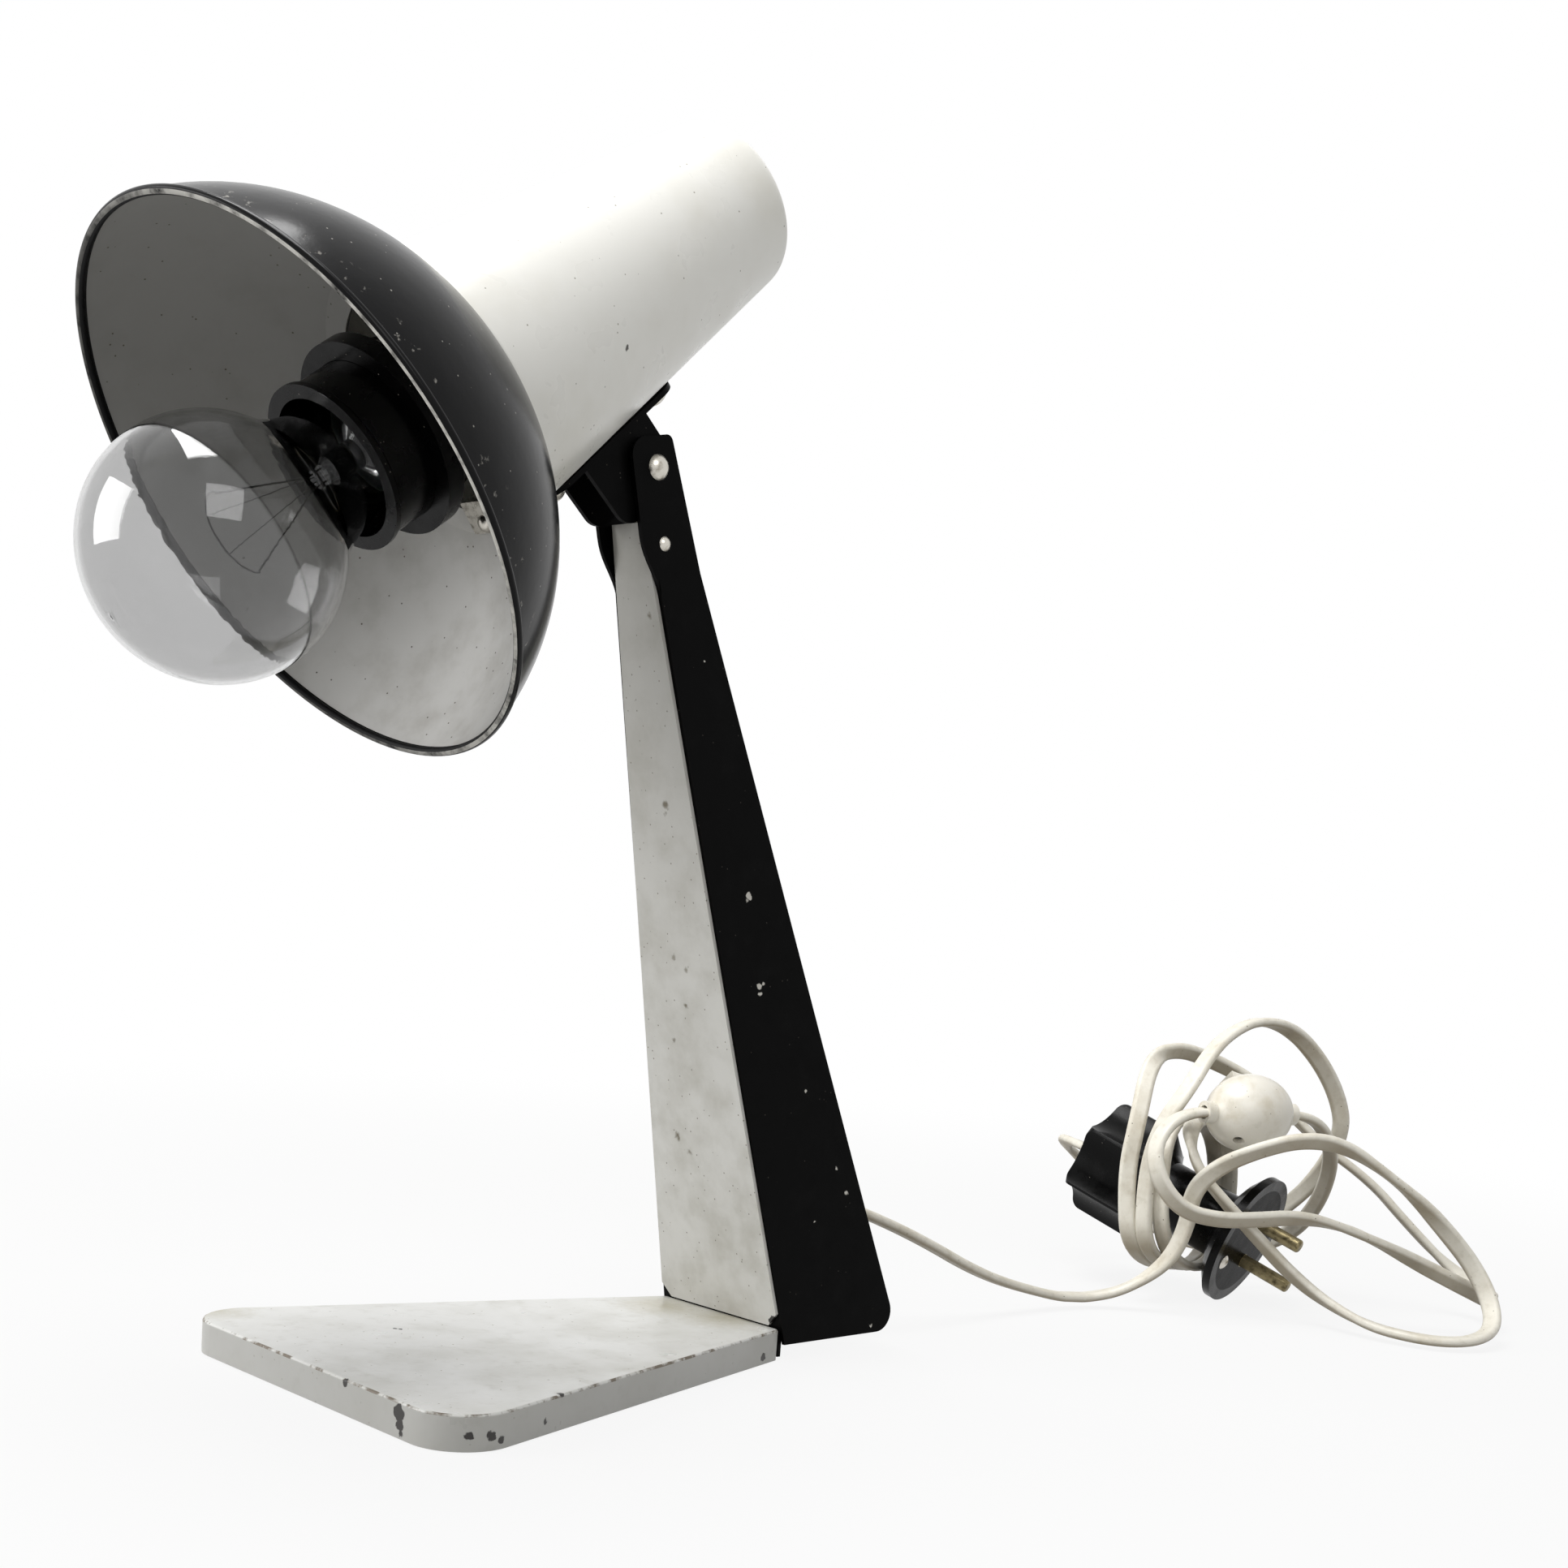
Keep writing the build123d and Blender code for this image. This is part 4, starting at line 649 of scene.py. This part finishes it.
# Stove enamel on the drawn housing: warm white, glossy, a few dark specks
def housing_enamel():
    m, shader, place = new_material("warm_white_enamel", Roughness=0.3, IOR=1.5)
    colour = clouded(m, place, "EDECE6", "E3E1D8", size_mm=40, low=0.4, high=0.75)
    colour = layered(m, colour, "8F8A7E", speckled(m, place, size_mm=0.4, share=0.08))
    colour = layered(m, colour, "3A352F", chipped(m, place, housing_marks, ragged_mm=0.8))
    give(m, shader, "Base Color", colour)
    rougher(m, shader, place, size_mm=15, low=0.24, high=0.38)
    uneven(m, shader, place, size_mm=3.5, depth_mm=0.02)
    return m


# Frame of the shade: its rim's middle, back along its axis, and the way towards which painted
# shadow darkens its inside
shade_tilt = math.radians(37.6)
head_back = Vector((0, math.cos(shade_tilt), math.sin(shade_tilt)))
rim_centre = mm(0, -83.569, 216.227)
shadow_way = (-0.55, 0, 0.83)


# Vitreous enamel: glossy black outside with a few scuffs and a black rim rubbed bright along its
# crest, that rubbed line partly a painted highlight brighter towards +X; matt white inside, greyed
# towards its top and -X side by painted shadow
def shade_enamel():
    m, shader, place = new_material(
        "black_and_white_enamel", Roughness=0.2, IOR=1.5, Specular_IOR_Level=0.11
    )
    apart = add(m, "VectorMath", {0: place, 1: rim_centre}, operation="SUBTRACT")
    along = add(m, "VectorMath", {0: apart, 1: head_back}, operation="DOT_PRODUCT"), "Value"
    axial = add(m, "VectorMath", {0: head_back, "Scale": along}, operation="SCALE")
    spoke = add(m, "VectorMath", {0: apart, 1: axial}, operation="SUBTRACT")
    spoke = add(m, "VectorMath", {0: spoke}, operation="NORMALIZE")
    outwards = add(m, "VectorMath", {0: spoke, 1: head_back}, operation="ADD")
    normal = add(m, "TexCoord"), "Normal"
    turned = add(m, "VectorMath", {0: normal, 1: outwards}, operation="DOT_PRODUCT"), "Value"
    outside = add(m, "Math", {0: turned, 1: 0.0}, operation="GREATER_THAN")

    light = clouded(m, place, "D6D5D2", "BFBDB8", size_mm=14, low=0.4, high=0.8)
    # Painted shadow: the inside darkens towards the top and the -X side
    above = add(m, "VectorMath", {0: apart, 1: shadow_way}, operation="DOT_PRODUCT"), "Value"
    shadow_ramp = {"From Min": -55 * MM, "From Max": 70 * MM, "To Max": 0.9}
    painted_shadow = add(m, "MapRange", {"Value": above, **shadow_ramp}, interpolation_type="SMOOTHSTEP")
    light = layered(m, light, "7C7B78", painted_shadow)
    light = layered(m, light, "57534B", speckled(m, place, size_mm=0.45, share=0.16))

    dark = clouded(m, place, "040405", "0C0C0D", size_mm=12, low=0.5, high=0.8)
    specks = speckled(m, place, size_mm=0.4, share=0.16)
    noise = add(m, "TexNoise", grain(place, size_mm=9))
    dust = add(m, "Math", {0: specks, 1: noise}, operation="MULTIPLY")
    dark = layered(m, dark, "B9B6AF", dust)
    noise = add(m, "TexNoise", grain(place, size_mm=3.2, detail=6))
    scuffs = add(m, "MapRange", {"Value": noise, "From Min": 0.63, "From Max": 0.7})
    band = {"From Min": 2 * MM, "From Max": 9 * MM, "To Min": 1, "To Max": 0}
    near_rim = add(m, "MapRange", {"Value": along, **band})
    scuffs = add(m, "Math", {0: scuffs, 1: near_rim}, operation="MULTIPLY")
    dark = layered(m, dark, "9C9993", scuffs)

    colour = layered(m, light, dark, outside)
    rim = add(m, "Math", {0: along, 1: 1.2 * MM}, operation="LESS_THAN")
    colour = layered(m, colour, "0B0B0C", rim)
    crest = add(m, "Math", {0: along, 1: -0.95 * MM}, operation="LESS_THAN")
    noise = add(m, "TexNoise", grain(place, size_mm=5, detail=5))
    rubbed_and_lit = add(m, "MapRange", {"Value": noise, "From Min": 0.3, "From Max": 0.55})
    rubbed_and_lit = add(m, "Math", {0: crest, 1: rubbed_and_lit}, operation="MULTIPLY")
    # Painted highlight: the rubbed crest brightens towards +X, where light catches the bead; the
    # rest is wear
    reach = {"From Min": -30 * MM, "From Max": 30 * MM, "To Min": 0.15}
    sides = add(m, "SeparateXYZ", {0: place})
    lit_side = add(m, "MapRange", {"Value": (sides, "X"), **reach})
    rubbed_and_lit = add(m, "Math", {0: rubbed_and_lit, 1: lit_side}, operation="MULTIPLY")
    colour = layered(m, colour, "C2C0BA", rubbed_and_lit)
    give(m, shader, "Base Color", colour)
    gloss = add(m, "MapRange", {"Value": outside, "To Min": 0.55, "To Max": 0.2})
    give(m, shader, "Roughness", gloss)
    uneven(m, shader, place, size_mm=5, depth_mm=0.05)
    return m


# Phenolic moulding powder: deep black with a few grey specks, as glossy as is asked for
def bakelite(name, gloss):
    m, shader, place = new_material(name, Roughness=0.22, IOR=1.55, Specular_IOR_Level=gloss)
    colour = clouded(m, place, "030303", "0A0909", size_mm=7, low=0.5, high=0.8)
    colour = layered(m, colour, "6E6A63", speckled(m, place, size_mm=0.3, share=0.07))
    give(m, shader, "Base Color", colour)
    rougher(m, shader, place, size_mm=8, low=0.16, high=0.34)
    uneven(m, shader, place, size_mm=4, depth_mm=0.04)
    return m


# Urea moulding: dense ivory white with a soft polish, a little light passing under the surface
def urea():
    m, shader, place = new_material(
        "ivory_urea_moulding",
        Roughness=0.3,
        IOR=1.55,
        Subsurface_Weight=0.05,
        Subsurface_Radius=(1.2 * MM, 1.0 * MM, 0.8 * MM),
        Subsurface_Scale=1.0,
    )
    colour = clouded(m, place, "E3DFD4", "D2CBBA", size_mm=9)
    colour = layered(m, colour, "8A8271", speckled(m, place, size_mm=0.3, share=0.1))
    give(m, shader, "Base Color", colour)
    rougher(m, shader, place, size_mm=6, low=0.25, high=0.4)
    uneven(m, shader, place, size_mm=2.5, depth_mm=0.03)
    return m


# Soft PVC sheath: off-white, waxy, soiled by handling, and browner underneath as painted shade
def sheath():
    m, shader, place = new_material("off_white_pvc_sheath", Roughness=0.45, IOR=1.52)
    colour = clouded(m, place, "E2DED2", "BDB39D", size_mm=14, low=0.4, high=0.8)
    fine = clouded(m, place, "E2DED2", "A3987F", size_mm=3, low=0.45, high=0.9)
    colour = layered(m, colour, fine, mask=0.4)
    colour = layered(m, colour, "6B614E", speckled(m, place, size_mm=0.4, share=0.12))
    facing = add(m, "SeparateXYZ", {0: (add(m, "TexCoord"), "Normal")})
    # Painted shade: faces turned down are darkened brown
    underside_shade_ramp = {"From Min": -0.75, "From Max": 0.1, "To Min": 0.85, "To Max": 0}
    painted_underside_shade = add(
        m, "MapRange", {"Value": (facing, "Z"), **underside_shade_ramp}, interpolation_type="SMOOTHSTEP"
    )
    colour = layered(m, colour, "80735A", painted_underside_shade)
    give(m, shader, "Base Color", colour)
    rougher(m, shader, place, size_mm=7, low=0.38, high=0.55)
    uneven(m, shader, place, size_mm=1.6, depth_mm=0.06)
    return m


# Finishes of one colour that drifts between two shades
def plain(name, clean, soiled, patch_mm, roughness, metallic=0.0):
    m, shader, place = new_material(name, Metallic=metallic)
    give(m, shader, "Base Color", clouded(m, place, clean, soiled, patch_mm))
    rougher(m, shader, place, patch_mm, *roughness)
    uneven(m, shader, place, patch_mm / 2, depth_mm=0.02)
    return m


# Nickel-plated steel: bright, dulled in small patches
def nickel():
    m, shader, place = new_material("nickel_plated_steel", Metallic=1.0, Roughness=0.3)
    give(m, shader, "Base Color", clouded(m, place, "C9C5BC", "8D877B", size_mm=2.5))
    rougher(m, shader, place, size_mm=1.5, low=0.2, high=0.42)
    uneven(m, shader, place, size_mm=0.8, depth_mm=0.02)
    return m


paint(plate_enamel(), "base_plate")
paint(panel_enamel(), "front_panel")
paint(stem_paint(), "stem_channel", "head_bracket")
paint(housing_enamel(), "housing")
paint(shade_enamel(), "shade")
paint(
    nickel(),
    "base_screws", "panel_studs", "pivot_rivet", "cross_rivet", "cord_clip", "clip_rivet",
    "pivot_sleeve", "bracket_screws", "bracket_nuts", "holder_bridge", "bridge_screws",
    "bridge_nuts", "cover_screws", "shell_screws", "rocker_axle",
)
paint(
    bakelite("black_phenolic", gloss=0.09),
    "holder_skirt", "shade_ring", "holder_body", "dome_cap", "plug_body",
)
paint(bakelite("dulled_black_phenolic", gloss=0.02), "plug_face")
paint(urea(), "switch_upper", "switch_lower", "switch_rocker")
flex_sheath = sheath()
for piece in (flex_long, flex_short, flex_in_stem, flex_in_head):
    piece.data.materials.append(flex_sheath)
# Drawn brass: tarnished brown in patches, a little yellow where it still shines
brass = plain(
    "tarnished_brass", "857A5C", "4A4230", patch_mm=2.5, roughness=(0.3, 0.5), metallic=1.0
)
paint(
    brass,
    "screw_shell", "centre_contact", "terminal_screws", "threaded_nipple", "lock_nut",
    "plug_pins", "contact_strips", "cap_contact",
)
# Spun aluminium cap: pale grey, satin
aluminium = plain(
    "spun_aluminium", "C4C6C8", "9EA0A2", patch_mm=2, roughness=(0.28, 0.42), metallic=1.0
)
paint(aluminium, "bulb_cap")
# Glazed porcelain: hard white with a wet gloss
porcelain = plain("glazed_porcelain", "E6E4DE", "D3D0C7", patch_mm=6, roughness=(0.1, 0.2))
paint(porcelain, "porcelain_insert")
# Vulcanised fibre: dull reddish brown, papery
fibre = plain("vulcanised_fibre", "6A4436", "4C3026", patch_mm=1.5, roughness=(0.6, 0.8))
paint(fibre, "friction_washers", "cap_insulator")
# Black rubber: matt, slightly grey
rubber = plain("black_rubber", "1B1A19", "262422", patch_mm=3, roughness=(0.6, 0.8))
paint(rubber, "grommet", "plug_bush")
# Rubber core insulation: brown, dull
core_rubber = plain("brown_core_rubber", "5B3A28", "47301F", patch_mm=4, roughness=(0.5, 0.7))
paint(core_rubber, "flex_cores", "plug_cores")
# Drawn tungsten and molybdenum: dark grey wire with a thin sheen
wire = plain(
    "tungsten_wire", "2E2D2C", "1E1D1C", patch_mm=1, roughness=(0.35, 0.5), metallic=1.0
)
paint(wire, "filament", "filament_supports", "lead_wires")
# Clear soda-lime glass, greyed a little by age: reflections, bent edges and a faint shade
bulb_glass = new_material(
    "clear_soda_lime_glass",
    Roughness=0.0,
    IOR=1.5,
    Transmission_Weight=1.0,
    Base_Color=srgb("D6D6D6"),
)[0]
paint(bulb_glass, "bulb_glass", "bulb_mount")


def seen_rays(material):
    """1 for rays from the camera, off gloss and through glass."""
    rays = add(material, "LightPath")
    direct = {0: (rays, "Is Camera Ray"), 1: (rays, "Is Glossy Ray")}
    pair = add(material, "Math", direct, operation="MAXIMUM")
    through = {0: pair, 1: (rays, "Is Transmission Ray")}
    return add(material, "Math", through, operation="MAXIMUM")


# Floor: a pale table that fades to white with distance and keeps the shadow
floor_half = 3.0
floor_drop = 0.0003
floor_middle = mm(0, 90, 0)
fade_start = 0.2
fade_end = 0.75
near_whiteness = 0.88
white = (1, 1, 1, 1)
corners = [(-1, -1), (1, -1), (1, 1), (-1, 1)]
floor_corners = [(x * floor_half, y * floor_half, -floor_drop) for x, y in corners]
floor_mesh = bpy.data.meshes.new("table_top")
floor_mesh.from_pydata(floor_corners, [], [(0, 1, 2, 3)])
floor = bpy.data.objects.new("table_top", floor_mesh)
scene.collection.objects.link(floor)
floor_finish = bpy.data.materials.new("pale_table")
floor_finish.use_nodes = True
floor_finish.node_tree.nodes.clear()
floor_light = add(floor_finish, "BsdfDiffuse", {"Color": srgb("C6C6C5")})
floor_white = add(floor_finish, "Emission", {"Color": white, "Strength": 1.0})
floor_place = add(floor_finish, "TexCoord"), "Object"
distance = add(
    floor_finish, "VectorMath", {0: floor_place, 1: floor_middle}, operation="DISTANCE"
)
fading = {"From Min": fade_start, "From Max": fade_end, "To Min": near_whiteness, "To Max": 1}
fade = add(
    floor_finish,
    "MapRange",
    {"Value": (distance, "Value"), **fading},
    interpolation_type="SMOOTHSTEP",
)
whitened = add(floor_finish, "Math", {0: seen_rays(floor_finish), 1: fade}, operation="MULTIPLY")
floor_mix = add(floor_finish, "MixShader", {0: whitened, 1: floor_light, 2: floor_white})
add(floor_finish, "OutputMaterial", {"Surface": floor_mix})
floor_mesh.materials.append(floor_finish)

# World: white where it is seen, soft grey where it lights
world = bpy.data.worlds.new("studio")
world.use_nodes = True
world.node_tree.nodes.clear()
scene.world = world
ambient = 0.24
level = add(world, "MapRange", {"Value": seen_rays(world), "To Min": ambient, "To Max": 1.0})
sky = add(world, "Background", {"Color": white, "Strength": level})
add(world, "OutputWorld", {"Surface": sky})


def softbox(name, place, target, width, depth, watts):
    """A rectangular lamp that faces its target, in metres and watts."""
    data = bpy.data.lights.new(name, "AREA")
    data.shape = "RECTANGLE"
    data.size = width
    data.size_y = depth
    data.energy = watts
    lamp = bpy.data.objects.new(name, data)
    scene.collection.objects.link(lamp)
    lamp.location = place
    lamp.rotation_euler = (Vector(target) - Vector(place)).to_track_quat("-Z", "Y").to_euler()


softbox(
    "overhead_softbox", (-0.1, -0.16, 1.25), (0, 0.05, 0.1), width=0.75, depth=0.55, watts=14.5
)
softbox("window_softbox", (-0.8, -1.15, 0.55), (0, 0, 0.15), width=0.8, depth=0.8, watts=12)
softbox("side_softbox", (1.1, -0.5, 0.95), (0, 0.05, 0.2), width=0.7, depth=0.7, watts=4.5)

scene.view_settings.view_transform = "Standard"
